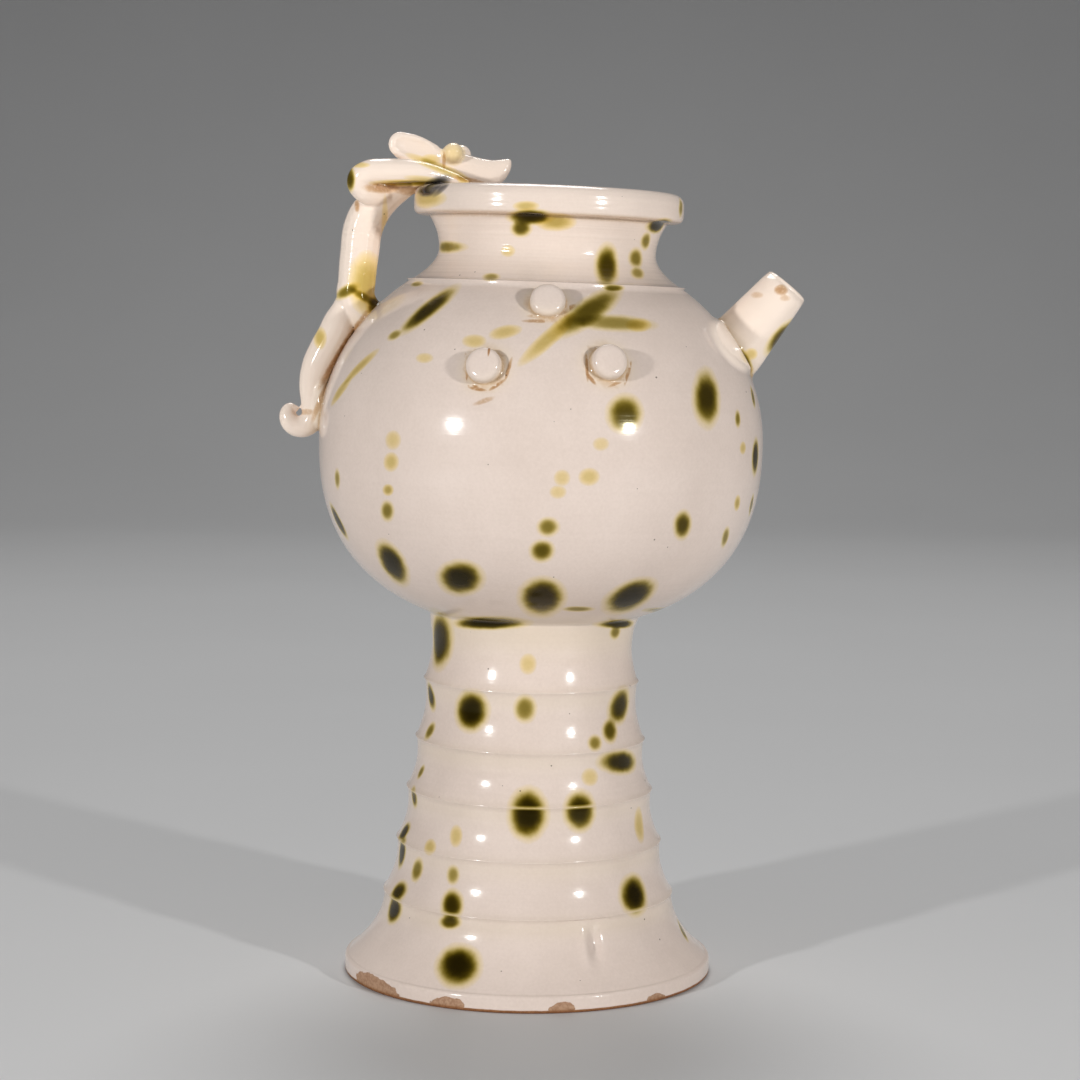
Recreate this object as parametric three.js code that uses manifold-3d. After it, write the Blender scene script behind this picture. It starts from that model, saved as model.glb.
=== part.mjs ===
// A footed ewer with a round body, a ringed stem, a short spout and a handle shaped as a crouching beast.
// Thrown, luted and glazed as one fired piece. Millimetres, +Z up, the foot standing on Z = 0.
// The spout points to +X, the handle is on the -X side and the three bosses face -Y.
import * as THREE from 'three';
import { mergeVertices } from 'three/addons/utils/BufferGeometryUtils.js';
import Module from 'manifold-3d';

// Foot and ringed stem
const FOOT_RADIUS = 70.3;
const FOOT_EDGE_ROUND = 0.8;
const FOOT_BAND_HEIGHT = 6.5;
const FOOT_STEP_IN = 1.4;
const FLARE_POWER = 2.1;
const RING_HEIGHTS = [30, 50, 69.5, 89, 112];
const RING_RADII = [55.3, 50.5, 46.8, 43.6, 40.7];
const COVE_DEPTH = 1.7;
const STEM_TOP_HEIGHT = 137.5;
const STEM_TOP_RADIUS = 40;
const TOP_COVE_DEPTH = 2.1;

// Round body, a different superellipse below and above its widest level
const BODY_RADIUS = 84.2;
const BODY_LEVEL = 204;
const LOWER_BODY = { height: 71.1, fullness: 2.42, floor: 139 };
const UPPER_BODY = { height: 74.4, fullness: 2, top: 262.5 };

// Neck and rolled lip
const NECK_RADIUS = 41;
const NECK_LEVEL = 275;
const NECK_SPREAD_POWER = 1.9;
const LIP_TOP = 298.3;
const LIP_BOTTOM = 287.2;
const LIP_RADIUS = 51;
const LIP_ROOT_RADIUS = 45;
const LIP_FULLNESS = 2.8;

// Walls and hollows
const BODY_WALL = 6;
const BODY_FLOOR = 147;
const NECK_WALL = 5;
const THROAT_HEIGHT = 6;
const MOUTH_RADIUS = 43;
const MOUTH_FLARE = { height: 5, width: 2 };
const STEM_WALL = 7;
const FOOT_RIM_WIDTH = 9;
const FOOT_HOLLOW_COVE = 2;
const STEM_HOLLOW_TOP = 124;
const FLAT_SHARE = 0.7;
const RUN_OUT = 10;

// The slump towards the spout, growing with the square of the height, and the body set a little off the stem
const SLUMP = 4.5;
const BODY_SHIFT = 1.4;
const SHIFT_BLEND = 6;

// Spout: a cone along a slanting axis, bored through the body wall
const SPOUT_ROOT = [77, 240];
const SPOUT_RISE_DEG = 50.4;
const SPOUT_LENGTH = 30.5;
const SPOUT_ROOT_RADIUS = 12.1;
const SPOUT_END_RADIUS = 8.8;
const SPOUT_EDGE_ROUND = 1.2;
const SPOUT_ROOT_SPREAD = 1;
const SPOUT_SINK = 10;
const SPOUT_BORE_RADIUS = 5;
const SPOUT_BORE_SINK = 26;

// Three bosses on the front of the shoulder: across, height, lift of the axis in degrees
const BOSSES = [
  { across: 5.4, height: 255.5, lift: 30 },
  { across: -16.3, height: 234, lift: 18 },
  { across: 26.6, height: 235, lift: 18 },
];
const BOSS_RADIUS = 6.4;
const BOSS_STAND = 5;
const BOSS_SINK = 7;
const BOSS_SIDE_SHARE = 0.7;
const BOSS_DOME = { width: 0.8, height: 0.95 };

// Facets
const LATHE_SIDES = 44;
const HOLLOW_SIDES = 28;
const SPOUT_SIDES = 20;
const BORE_SIDES = 12;
const BOSS_SIDES = 16;

// Clay coils of the handle: points [x, y, z] along the middle with the coil's half-thickness there
const BACK_COIL = {
  points: [[-43, 0, 299.5], [-52, 0, 299.2], [-59.4, 0, 293.6], [-64, 0, 284.5], [-66.1, 0, 273.5],
    [-66.8, 0, 264], [-67, 0, 256.5], [-61, 0, 248]],
  radii: [3.9, 5.2, 7.4, 7.7, 7.3, 7.2, 7.3, 7],
  steps: 16,
};
const TAIL_COIL = {
  points: [[-70.6, 0, 254.5], [-72.9, 0, 248.6], [-75.6, 0, 242.5], [-79, 0, 236.5], [-81.8, 0, 230.4],
    [-83.2, 0, 224], [-83, 0, 217], [-83.6, 0, 211], [-88.8, 0, 208.1], [-92.7, 0, 211.5],
    [-91.9, 0, 214.9], [-90, 0, 215.1]],
  radii: [4.8, 6.2, 6.5, 6.4, 6.1, 5.5, 5, 4.6, 4.1, 3.6, 2.6, 1.3],
  steps: 28,
};
const TAIL_PAD = { centre: [-80, 0, 217], size: [3.5, 8.5, 10.5] };
const ARM_COIL = {
  points: [[-51, -4, 296], [-58.5, -7, 296.2], [-65.4, -9, 298.6], [-64, -10.5, 302.8], [-55, -11.5, 304],
    [-47, -13.5, 303.9], [-40, -16.5, 303], [-32, -20.5, 301.4], [-25, -24.5, 299.4]],
  radii: [3.9, 4.2, 4.9, 4.8, 5, 4.8, 4.2, 3.1, 1.6],
  steps: 18,
};
const HEAD_COIL = {
  points: [[-57, 0, 295], [-49, 0, 301], [-40, 0, 305.5], [-32, 0, 307], [-25, 0, 305.9],
    [-18, 0, 305], [-13, 0, 305.6], [-9.7, 0, 307.4]],
  radii: [5, 5.2, 5.2, 5.3, 5, 4.8, 3.9, 2.2],
  steps: 14,
};
const EAR_LEAF = {
  points: [[-33, -5, 309.2], [-38.5, -6.5, 311.2], [-44, -7.9, 312.8], [-49.5, -9, 314.2],
    [-54.3, -9.8, 315]],
  radii: [2.4, 4, 4.9, 4.9, 2.6],
  thinness: 0.42,
  steps: 6,
};
const EYE = { centre: [-29.8, -4.8, 311], radius: 3.2 };
const COIL_SIDES = 10;

const wasm = await Module();
wasm.setup();

function toSolid(geometry) {
  geometry.deleteAttribute('normal');
  geometry.deleteAttribute('uv');
  const welded = mergeVertices(geometry, 1e-3);
  const corners = welded.index.array;
  const triangles = [];
  for (let i = 0; i < corners.length; i += 3) {
    const [a, b, c] = corners.slice(i, i + 3);
    // Triangles that shrink to a line on the axis are dropped
    if (a !== b && b !== c && c !== a) triangles.push(a, b, c);
  }
  return new wasm.Manifold(new wasm.Mesh({
    numProp: 3,
    vertProperties: welded.attributes.position.array,
    triVerts: new Uint32Array(triangles),
  }));
}

function toGeometry(solid) {
  const mesh = solid.getMesh();
  const geometry = new THREE.BufferGeometry();
  geometry.setAttribute('position', new THREE.BufferAttribute(mesh.vertProperties, 3));
  geometry.setIndex(new THREE.BufferAttribute(mesh.triVerts, 1));
  return geometry;
}

// Evenly stepped numbers from 0 to 1, both ends counted
function steps(count) {
  return Array.from({ length: count + 1 }, (_, i) => i / count);
}

function superellipse(level, size, turn) {
  const power = 2 / size.fullness;
  const height = Math.sign(turn) * size.height * Math.abs(Math.sin(turn)) ** power;
  return new THREE.Vector2(BODY_RADIUS * Math.cos(turn) ** power, level + height);
}

// The turn along a superellipse at which it reaches a given height
function turnAtHeight(level, size, height) {
  const rise = Math.abs(height - level) / size.height;
  return Math.sign(height - level) * Math.asin(rise ** (size.fullness / 2));
}

function footProfile() {
  const band = [
    [FOOT_RADIUS - FOOT_EDGE_ROUND, 0],
    [FOOT_RADIUS, FOOT_EDGE_ROUND],
    [FOOT_RADIUS, FOOT_BAND_HEIGHT - FOOT_EDGE_ROUND],
    [FOOT_RADIUS - FOOT_EDGE_ROUND, FOOT_BAND_HEIGHT],
  ];
  const reach = FOOT_RADIUS - FOOT_STEP_IN - RING_RADII[0];
  const rise = RING_HEIGHTS[0] - FOOT_BAND_HEIGHT;
  const flare = steps(4).map((t) => [
    RING_RADII[0] + reach * (1 - t) ** FLARE_POWER,
    FOOT_BAND_HEIGHT + rise * t,
  ]);
  return [...band, ...flare].map(([radius, height]) => new THREE.Vector2(radius, height));
}

// Hollow coves between the sharp rings of the stem, bottom to top, each without its lower ring
function stemProfile() {
  const heights = [...RING_HEIGHTS, STEM_TOP_HEIGHT];
  const radii = [...RING_RADII, STEM_TOP_RADIUS];
  const points = [];
  for (let ring = 1; ring < heights.length; ring += 1) {
    const depth = ring === heights.length - 1 ? TOP_COVE_DEPTH : COVE_DEPTH;
    for (const t of steps(3).slice(1)) {
      const radius = THREE.MathUtils.lerp(radii[ring - 1], radii[ring], t) - depth * Math.sin(Math.PI * t);
      points.push(new THREE.Vector2(radius, THREE.MathUtils.lerp(heights[ring - 1], heights[ring], t)));
    }
  }
  return points;
}

function bodyProfile() {
  const low = turnAtHeight(BODY_LEVEL, LOWER_BODY, LOWER_BODY.floor);
  const high = turnAtHeight(BODY_LEVEL, UPPER_BODY, UPPER_BODY.top);
  const lower = steps(7).slice(0, -1).map((t) => superellipse(BODY_LEVEL, LOWER_BODY, low * (1 - t)));
  const upper = steps(6).map((t) => superellipse(BODY_LEVEL, UPPER_BODY, high * t));
  return [...lower, ...upper];
}

function neckProfile() {
  const shoulder = bodyProfile().at(-1);
  const spread = shoulder.x - NECK_RADIUS;
  const lower = steps(4).slice(1).map((t) => new THREE.Vector2(
    NECK_RADIUS + spread * (1 - t) ** NECK_SPREAD_POWER,
    THREE.MathUtils.lerp(shoulder.y, NECK_LEVEL, t),
  ));
  const upper = steps(2).slice(1).map((t) => new THREE.Vector2(
    NECK_RADIUS + (LIP_ROOT_RADIUS - NECK_RADIUS) * t ** 2,
    THREE.MathUtils.lerp(NECK_LEVEL, LIP_BOTTOM, t),
  ));
  return [...lower, ...upper];
}

function lipProfile() {
  const power = 2 / LIP_FULLNESS;
  const level = (LIP_TOP + LIP_BOTTOM) / 2;
  const half = (LIP_TOP - LIP_BOTTOM) / 2;
  return steps(6).slice(1).map((t) => {
    const turn = Math.PI * (t - 0.5);
    return new THREE.Vector2(
      LIP_ROOT_RADIUS + (LIP_RADIUS - LIP_ROOT_RADIUS) * Math.abs(Math.cos(turn)) ** power,
      level + half * Math.sign(turn) * Math.abs(Math.sin(turn)) ** power,
    );
  });
}

// The room inside body, neck and mouth, running out above the lip
function roomProfile() {
  const inset = bodyProfile().filter((point) => point.y > BODY_FLOOR);
  const walls = inset.map((point) => new THREE.Vector2(point.x - BODY_WALL, point.y));
  const floor = [new THREE.Vector2(0, BODY_FLOOR), new THREE.Vector2(walls[0].x * FLAT_SHARE, BODY_FLOOR)];
  const mouth = [
    new THREE.Vector2(NECK_RADIUS - NECK_WALL, NECK_LEVEL - THROAT_HEIGHT / 2),
    new THREE.Vector2(NECK_RADIUS - NECK_WALL, NECK_LEVEL + THROAT_HEIGHT / 2),
    new THREE.Vector2(MOUTH_RADIUS - MOUTH_FLARE.width, LIP_TOP - MOUTH_FLARE.height),
    new THREE.Vector2(MOUTH_RADIUS, LIP_TOP),
    new THREE.Vector2(MOUTH_RADIUS, LIP_TOP + RUN_OUT),
    new THREE.Vector2(0, LIP_TOP + RUN_OUT),
  ];
  return [...floor, ...walls, ...mouth];
}

// The hollow under the stem, running out below the foot
function stemHollowProfile() {
  const rim = FOOT_RADIUS - FOOT_RIM_WIDTH;
  const walls = RING_HEIGHTS.map((height, i) => new THREE.Vector2(RING_RADII[i] - STEM_WALL, height));
  return [
    new THREE.Vector2(0, -RUN_OUT),
    new THREE.Vector2(rim, -RUN_OUT),
    new THREE.Vector2(rim, 0),
    new THREE.Vector2((rim + walls[0].x) / 2 - FOOT_HOLLOW_COVE, RING_HEIGHTS[0] / 2),
    ...walls,
    new THREE.Vector2(walls.at(-1).x * FLAT_SHARE, STEM_HOLLOW_TOP),
    new THREE.Vector2(0, STEM_HOLLOW_TOP),
  ];
}

// How far the middle of the pot has moved towards the spout at a height
function drift(height) {
  const above = height - STEM_TOP_HEIGHT;
  const shift = BODY_SHIFT * THREE.MathUtils.smoothstep(above, -SHIFT_BLEND, SHIFT_BLEND);
  return SLUMP * (height / LIP_TOP) ** 2 + shift;
}

// Turns a profile about the upright axis, then lets it slump
function throwPot(profile, sides) {
  const geometry = new THREE.LatheGeometry(profile, sides);
  geometry.rotateX(Math.PI / 2);
  const position = geometry.attributes.position;
  for (let i = 0; i < position.count; i += 1) {
    const x = position.getX(i);
    const z = Math.max(position.getZ(i), 0);
    const slope = (2 * SLUMP * z) / LIP_TOP ** 2;
    position.setX(i, x + drift(z));
    position.setZ(i, position.getZ(i) - x * slope);
  }
  return toSolid(geometry);
}

function thrownBody() {
  const foot = new THREE.Vector2(0, 0);
  const crown = new THREE.Vector2(0, LIP_TOP);
  return throwPot(
    [foot, ...footProfile(), ...stemProfile(), ...bodyProfile(), ...neckProfile(), ...lipProfile(), crown],
    LATHE_SIDES,
  );
}

// A tapering coil of clay along hand-set points; side +1 is the near one, -1 its mirror image
function coil({ points, radii, steps: count, thinness = 1 }, side = 1) {
  const path = new THREE.CatmullRomCurve3(points.map(([x, y, z]) => new THREE.Vector3(x, y * side, z)));
  const tube = new THREE.CylinderGeometry(1, 1, 1, COIL_SIDES, count);
  const position = tube.attributes.position;
  const across = new THREE.Vector3(0, 1, 0);
  for (let i = 0; i < position.count; i += 1) {
    const t = position.getY(i) + 0.5;
    const place = path.getPoint(t);
    const along = path.getTangent(t);
    const normal = new THREE.Vector3().crossVectors(along, across).normalize();
    const sideways = new THREE.Vector3().crossVectors(normal, along);
    const spot = t * (radii.length - 1);
    const low = Math.min(Math.floor(spot), radii.length - 2);
    const radius = THREE.MathUtils.lerp(radii[low], radii[low + 1], spot - low);
    place.addScaledVector(normal, position.getX(i) * radius);
    place.addScaledVector(sideways, position.getZ(i) * radius * thinness);
    position.setXYZ(i, place.x, place.y, place.z);
  }
  return toSolid(tube);
}

function ball([x, y, z], [sizeX, sizeY, sizeZ], side = 1) {
  const geometry = new THREE.SphereGeometry(1, COIL_SIDES, 6);
  geometry.scale(sizeX, sizeY, sizeZ);
  geometry.translate(x, y * side, z);
  return toSolid(geometry);
}

// The grip: the beast's back from the lip to the shoulder, and its tail lying on the body
function grip() {
  return coil(BACK_COIL).add(coil(TAIL_COIL)).add(ball(TAIL_PAD.centre, TAIL_PAD.size));
}

// The beast's head over the mouth, with a folded arm, an ear and an eye on either side
function beast() {
  let solid = coil(HEAD_COIL);
  const eyeSize = [EYE.radius, EYE.radius, EYE.radius];
  for (const side of [1, -1]) {
    solid = solid.add(coil(ARM_COIL, side)).add(coil(EAR_LEAF, side)).add(ball(EYE.centre, eyeSize, side));
  }
  return solid;
}

// A turned piece that starts below its root and runs along a slanting axis in the XZ plane
function alongSpout(profile, sides) {
  const geometry = new THREE.LatheGeometry(profile.map(([r, along]) => new THREE.Vector2(r, along)), sides);
  const lean = THREE.MathUtils.degToRad(90 - SPOUT_RISE_DEG);
  geometry.rotateX(Math.PI / 2);
  geometry.rotateY(lean);
  geometry.translate(SPOUT_ROOT[0], 0, SPOUT_ROOT[1]);
  return toSolid(geometry);
}

function spout() {
  return alongSpout([
    [0, -SPOUT_SINK],
    [SPOUT_ROOT_RADIUS + SPOUT_ROOT_SPREAD, -SPOUT_SINK],
    [SPOUT_ROOT_RADIUS, 0],
    [SPOUT_END_RADIUS, SPOUT_LENGTH - SPOUT_EDGE_ROUND],
    [SPOUT_END_RADIUS - SPOUT_EDGE_ROUND, SPOUT_LENGTH],
    [0, SPOUT_LENGTH],
  ], SPOUT_SIDES);
}

function spoutBore() {
  return alongSpout([
    [0, -SPOUT_BORE_SINK],
    [SPOUT_BORE_RADIUS, -SPOUT_BORE_SINK],
    [SPOUT_BORE_RADIUS, SPOUT_LENGTH + SPOUT_SINK],
    [0, SPOUT_LENGTH + SPOUT_SINK],
  ], BORE_SIDES);
}

// Radius of the body above its widest level
function shoulderRadius(height) {
  return BODY_RADIUS * Math.sqrt(1 - ((height - BODY_LEVEL) / UPPER_BODY.height) ** 2);
}

function boss({ across, height, lift }) {
  const geometry = new THREE.LatheGeometry([
    [0, -BOSS_SINK],
    [BOSS_RADIUS, -BOSS_SINK],
    [BOSS_RADIUS, BOSS_STAND * BOSS_SIDE_SHARE],
    [BOSS_RADIUS * BOSS_DOME.width, BOSS_STAND * BOSS_DOME.height],
    [0, BOSS_STAND],
  ].map(([radius, along]) => new THREE.Vector2(radius, along)), BOSS_SIDES);
  const out = across - drift(height);
  const depth = Math.sqrt(shoulderRadius(height) ** 2 - out ** 2);
  const turn = Math.atan2(out, depth);
  // The lathe's axis starts along +Y, is turned to face -Y, lifted, then swung around the body
  geometry.rotateX(Math.PI);
  geometry.rotateX(-THREE.MathUtils.degToRad(lift));
  geometry.rotateZ(turn);
  geometry.translate(across, -depth, height);
  return toSolid(geometry);
}

function buildEwer() {
  let pot = thrownBody().add(grip()).add(spout());
  for (const place of BOSSES) pot = pot.add(boss(place));
  const hollows = throwPot(roomProfile(), HOLLOW_SIDES)
    .add(throwPot(stemHollowProfile(), HOLLOW_SIDES))
    .add(spoutBore());
  return toGeometry(pot.subtract(hollows).add(beast()));
}

const glaze = new THREE.MeshStandardMaterial({ color: 0xded4cb, roughness: 0.18, metalness: 0 });
const ewer = new THREE.Mesh(buildEwer(), glaze);
ewer.name = 'ewer';
ewer.geometry.computeBoundingBox();
const box = ewer.geometry.boundingBox;
ewer.position.set(-(box.min.x + box.max.x) / 2, -(box.min.y + box.max.y) / 2, 0);

const part = new THREE.Group();
part.add(ewer);
export default part;
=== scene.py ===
"""A footed ewer with a beast-shaped handle and green splashes on a cream-white glaze.

The looks of the ewer are thrown, rolled, joined and glazed here around the fixed solid, in metres.
Each step is an operator, and the panel in the sidebar lists them in the order of work.
"""
import math
import random
from typing import NamedTuple

import bpy
import numpy as np
from mathutils import Matrix, Vector
from mathutils.kdtree import KDTree


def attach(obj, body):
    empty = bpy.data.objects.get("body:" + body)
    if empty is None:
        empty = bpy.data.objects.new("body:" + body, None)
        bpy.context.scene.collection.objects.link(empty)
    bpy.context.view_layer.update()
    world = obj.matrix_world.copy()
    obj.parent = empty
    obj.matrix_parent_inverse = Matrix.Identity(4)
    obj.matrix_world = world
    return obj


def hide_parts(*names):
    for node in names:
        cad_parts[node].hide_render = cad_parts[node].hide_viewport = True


bl_info = {
    "name": "Splashed Ewer",
    "version": (1, 0, 0),
    "blender": (4, 5, 0),
    "location": "View3D > Sidebar > Ewer",
    "description": "Throws, joins and glazes a footed ewer with a beast-shaped handle",
    "category": "Add Mesh",
}

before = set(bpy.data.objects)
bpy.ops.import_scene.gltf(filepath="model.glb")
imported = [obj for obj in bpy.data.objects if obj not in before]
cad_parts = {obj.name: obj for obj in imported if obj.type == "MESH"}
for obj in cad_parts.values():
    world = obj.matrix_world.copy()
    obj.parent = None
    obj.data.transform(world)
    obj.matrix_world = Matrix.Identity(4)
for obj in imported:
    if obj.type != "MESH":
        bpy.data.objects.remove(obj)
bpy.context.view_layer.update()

# The pieces of clay, and the finished piece that they become
SOLID = "ewer"
EWER = "glazed_ewer"
POT = "thrown_pot"
SPOUT = "spout"
BOSSES = "bosses"
HANDLE = "handle"
CLAYS = [POT, HANDLE, SPOUT, BOSSES]

# Foot and ringed stem
FOOT_EDGE_ROUND = 0.0009
FOOT_BAND_HEIGHT = 0.0065
FOOT_STEP_IN = 0.0014
FOOT_RIM_WIDTH = 0.009
FLARE_POWER = 2.1
RING_HEIGHTS = [0.0309, 0.0511, 0.0708, 0.0902, 0.1125]
RING_RADII = [0.0553, 0.0505, 0.0468, 0.0436, 0.0407]
COVE_DEPTH = 0.0017
STEM_TOP_HEIGHT = 0.1375
STEM_TOP_RADIUS = 0.040
TOP_COVE_DEPTH = 0.0021
CREST_RISE = 0.0005
CREST_WIDTH = 0.00045
STEM_WALL = 0.007
STEM_HOLLOW_TOP = 0.124
HOLLOW_ROUND = 0.010

# Body, neck and lip
BODY_LEVEL = 0.204
LOWER_HEIGHT = 0.0711
LOWER_FULLNESS = 2.42
LOWER_FLOOR = 0.139
UPPER_HEIGHT = 0.0744
UPPER_FULLNESS = 2.0
UPPER_TOP = 0.2625
NECK_LEVEL = 0.275
NECK_SPREAD_POWER = 1.9
NECK_FLARE_POWER = 2
NECK_RIDGE_RISE = 0.0007
NECK_RIDGE_WIDTH = 0.0006
LIP_BOTTOM = 0.2872
LIP_ROOT_RADIUS = 0.045
LIP_FULLNESS = 2.8
LIP_UNDER_FULLNESS = 4.5
BODY_WALL = 0.006
BODY_FLOOR = 0.147
FLOOR_POWER = 4
ROOM_TOP = 0.258
NECK_WALL = 0.005
MOUTH_RADIUS = 0.043
MOUTH_FLARE_HEIGHT = 0.005

# How finely the pot is turned, and the steps in each stretch of a profile
TURN_SIDES = 184
ROOM_SIDES = TURN_SIDES // 2
HOLLOW_CORNER_STEPS = 6
HOLLOW_WALL_LEVELS = 8
HOLLOW_FLARE_STEPS = 7
FOOT_EDGE_STEPS = 5
FOOT_BAND_LEVELS = 8
FOOT_FLARE_STEPS = 18
COVE_STEPS = 14
BODY_STEPS = 24
ROOM_STEPS = 12
NECK_FOOT_STEPS = 16
NECK_TOP_STEPS = 9
LIP_STEPS = 10
MOUTH_STEPS = 5
THROAT_STEPS = 8
FLOOR_STEPS = 4
SPOUT_EDGE_STEPS = 6
SPOUT_STEPS = 14
BOSS_STEPS = 10

# Points of a profile nearer than this become one, before and after it is spun
DRAWN_MERGE = 1e-6
TURNED_MERGE = 2e-6

# How the soft pot leaned towards the spout in the fire
SLUMP = 0.0045
BODY_SHIFT = 0.0014
SHIFT_BLEND = 0.006

# The uneven wall, as waves: share of the radius, waves around, and radians of twist in a metre of height
UNEVEN_WAVES = [(0.0006, 2.0, 25.0), (0.0004, 3.0, -60.0)]
LEAST_RADIUS = 1e-4

# Spout
SPOUT_ROOT = (0.077, 0.0, 0.240)
SPOUT_RISE = math.radians(50.4)
SPOUT_ROOT_RADIUS = 0.0121
SPOUT_END_RADIUS = 0.0088
SPOUT_EDGE_ROUND = 0.0014
SPOUT_BORE_RADIUS = 0.005
SPOUT_SINK = 0.010
SPOUT_BORE_SINK = 0.026
SPOUT_BORE_MARGIN = 0.001
SPOUT_SIDES = 56

# Bosses: how far across, how high, and how many degrees each looks up
BOSS_PLACES = [(0.0054, 0.2553, 30), (-0.0163, 0.2330, 18), (0.0266, 0.2346, 18)]
BOSS_STAND = 0.005
BOSS_SINK = 0.007
BOSS_FULLNESS = 5.0
BOSS_SIDES = 40

# The handle's coils, as points along each with the radius of the clay there
BACK_COIL = [
    (-0.0440, 0, 0.3005, 0.0030), (-0.0505, 0, 0.2980, 0.0046), (-0.0560, 0, 0.2949, 0.0060),
    (-0.0610, 0, 0.2904, 0.0072), (-0.0642, 0, 0.2845, 0.0075), (-0.0659, 0, 0.2735, 0.0074),
    (-0.0668, 0, 0.2640, 0.0072), (-0.0670, 0, 0.2565, 0.0073), (-0.0610, 0, 0.2480, 0.0070),
]
TAIL_COIL = [
    (-0.0706, 0, 0.2545, 0.0048), (-0.0729, 0, 0.2486, 0.0062), (-0.0756, 0, 0.2425, 0.0065),
    (-0.0790, 0, 0.2365, 0.0064), (-0.0818, 0, 0.2304, 0.0061), (-0.0832, 0, 0.2240, 0.0055),
    (-0.0830, 0, 0.2170, 0.0050), (-0.0836, 0, 0.2110, 0.0046), (-0.0888, 0, 0.2081, 0.0041),
    (-0.0927, 0, 0.2115, 0.0036), (-0.0919, 0, 0.2149, 0.0026), (-0.0900, 0, 0.2151, 0.0013),
]
TAIL_PAD_PLACE = (-0.080, 0, 0.217)
TAIL_PAD_SIZE = (0.0035, 0.0085, 0.0105)
ARM_COIL = [
    (-0.0530, 0.0000, 0.2950, 0.0030), (-0.0585, -0.0050, 0.2958, 0.0042),
    (-0.0630, -0.0085, 0.2968, 0.0046), (-0.0653, -0.0105, 0.3008, 0.0047),
    (-0.0620, -0.0115, 0.3036, 0.0047), (-0.0570, -0.0120, 0.3042, 0.0047),
    (-0.0504, -0.0130, 0.3043, 0.0046), (-0.0436, -0.0150, 0.3042, 0.0041),
    (-0.0375, -0.0175, 0.3032, 0.0034), (-0.0320, -0.0205, 0.3019, 0.0026),
    (-0.0280, -0.0228, 0.3008, 0.0019), (-0.0247, -0.0245, 0.2999, 0.0010),
]
# The beast's head: along from the lip's middle, height, half its height and half its width
HEAD_SECTIONS = [
    (-0.0560, 0.2985, 0.0040, 0.0042), (-0.0480, 0.3030, 0.0046, 0.0050), (-0.0400, 0.3062, 0.0050, 0.0056),
    (-0.0330, 0.3066, 0.0055, 0.0060), (-0.0280, 0.3058, 0.0062, 0.0057), (-0.0240, 0.3051, 0.0060, 0.0053),
    (-0.0200, 0.3045, 0.0055, 0.0049), (-0.0160, 0.3043, 0.0051, 0.0045), (-0.0130, 0.3049, 0.0047, 0.0040),
    (-0.0107, 0.3061, 0.0038, 0.0033), (-0.0092, 0.3074, 0.0025, 0.0024), (-0.0086, 0.3080, 0.0012, 0.0013),
]
HEAD_OUTLINE = [
    (0.0, 1.0), (0.55, 0.9), (0.86, 0.5), (0.97, 0.0), (1.0, -0.36), (0.62, -0.8), (0.0, -1.0),
]
EAR_ROOT = (-0.0340, -0.0055, 0.3092)
EAR_RISE = math.radians(16)
EAR_SWING = math.radians(12)
EAR_LEAF = [
    (0.0000, 0, 0.0000, 0.0026), (-0.0032, 0, 0.0000, 0.0041), (-0.0070, 0, 0.0000, 0.0051),
    (-0.0117, 0, 0.0001, 0.0056), (-0.0152, 0, 0.0003, 0.0053), (-0.0171, 0, 0.0005, 0.0048),
]
EAR_THINNESS = 0.44
EAR_SCOOP_PLACE = (-0.0118, -0.0031, 0.0006)
EAR_SCOOP_SIZE = (0.0095, 0.0029, 0.0046)
NEAR_EYE = (-0.0305, -0.0056, 0.3115)
FAR_EYE = (-0.0279, 0.0056, 0.3114)
EYE_RADIUS = 0.0039
COIL_ROUND_STEPS = 6
COIL_STEPS = 10
BALL_SEGMENTS = 32
BALL_RINGS = 20
HANDLE_GRAIN = 0.0006
EAR_GRAIN = HANDLE_GRAIN / 2

# How far the joints are smoothed, how strongly and how often
JOINT_REACH = 0.0028
JOINT_FULL = JOINT_REACH / 3
BOSS_CLEAR = 2 * JOINT_REACH
SMOOTHING = 0.5
HANDLE_SMOOTHINGS = 3
JOINT_SMOOTHINGS = 12

# A smear of clay where the spout is luted on: its rise, and where it is full and refined if its edge is 1
SPOUT_SMEAR_RISE = 0.0016
SMEAR_FULL = 0.7
SMEAR_REFINED = 1.5
REFINE_CUTS = 3

# A finger mark in the flare of the foot, with angles in degrees
FINGER_MARK_AROUND = 21.5
FINGER_MARK_TURN = 2.2
FINGER_MARK_HEIGHT = 0.0205
FINGER_MARK_REACH = 0.0055
FINGER_MARK_RISE = 0.0012
FINGER_MARK_ROOM_AROUND = 5 * FINGER_MARK_TURN
FINGER_MARK_ROOM_UP = 3 * FINGER_MARK_REACH

# The camera, placed to match the photograph, and the size of the photograph in pixels
PHOTO_SIZE = 1080
CAMERA_PLACE = Vector((0.00025, -0.989, 0.2532))
CAMERA_PITCH = math.radians(5.06)
CAMERA_ROLL = 0.0095
CAMERA_SENSOR = 36.0
CAMERA_LENS = 86.6
CAMERA_CLIP = 0.01

# Lights: degrees around from the front and up, distance and size of each soft box
KEY_AROUND = 44
KEY_RISE = 11
KEY_DISTANCE = 1.5
KEY_SIZE = (0.078, 0.082)
BACK_LIGHT_AROUND = 180
BACK_LIGHT_RISE = 58
BACK_LIGHT_DISTANCE = 2.4
BACK_LIGHT_SIZE = (1.2, 1.2)

# The floor, which curves up into a backdrop
FLOOR_SIZE = 14.0
FLOOR_NOISE = (3.0, 3.0)
FLOOR_SHADE = 0.93
FLOOR_ROUGHNESS = 0.6
BACKDROP_AWAY = 3.5
BACKDROP_HEIGHT = 4.0
BACKDROP_ROUND = 1.5
BACKDROP_SEGMENTS = 24


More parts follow.
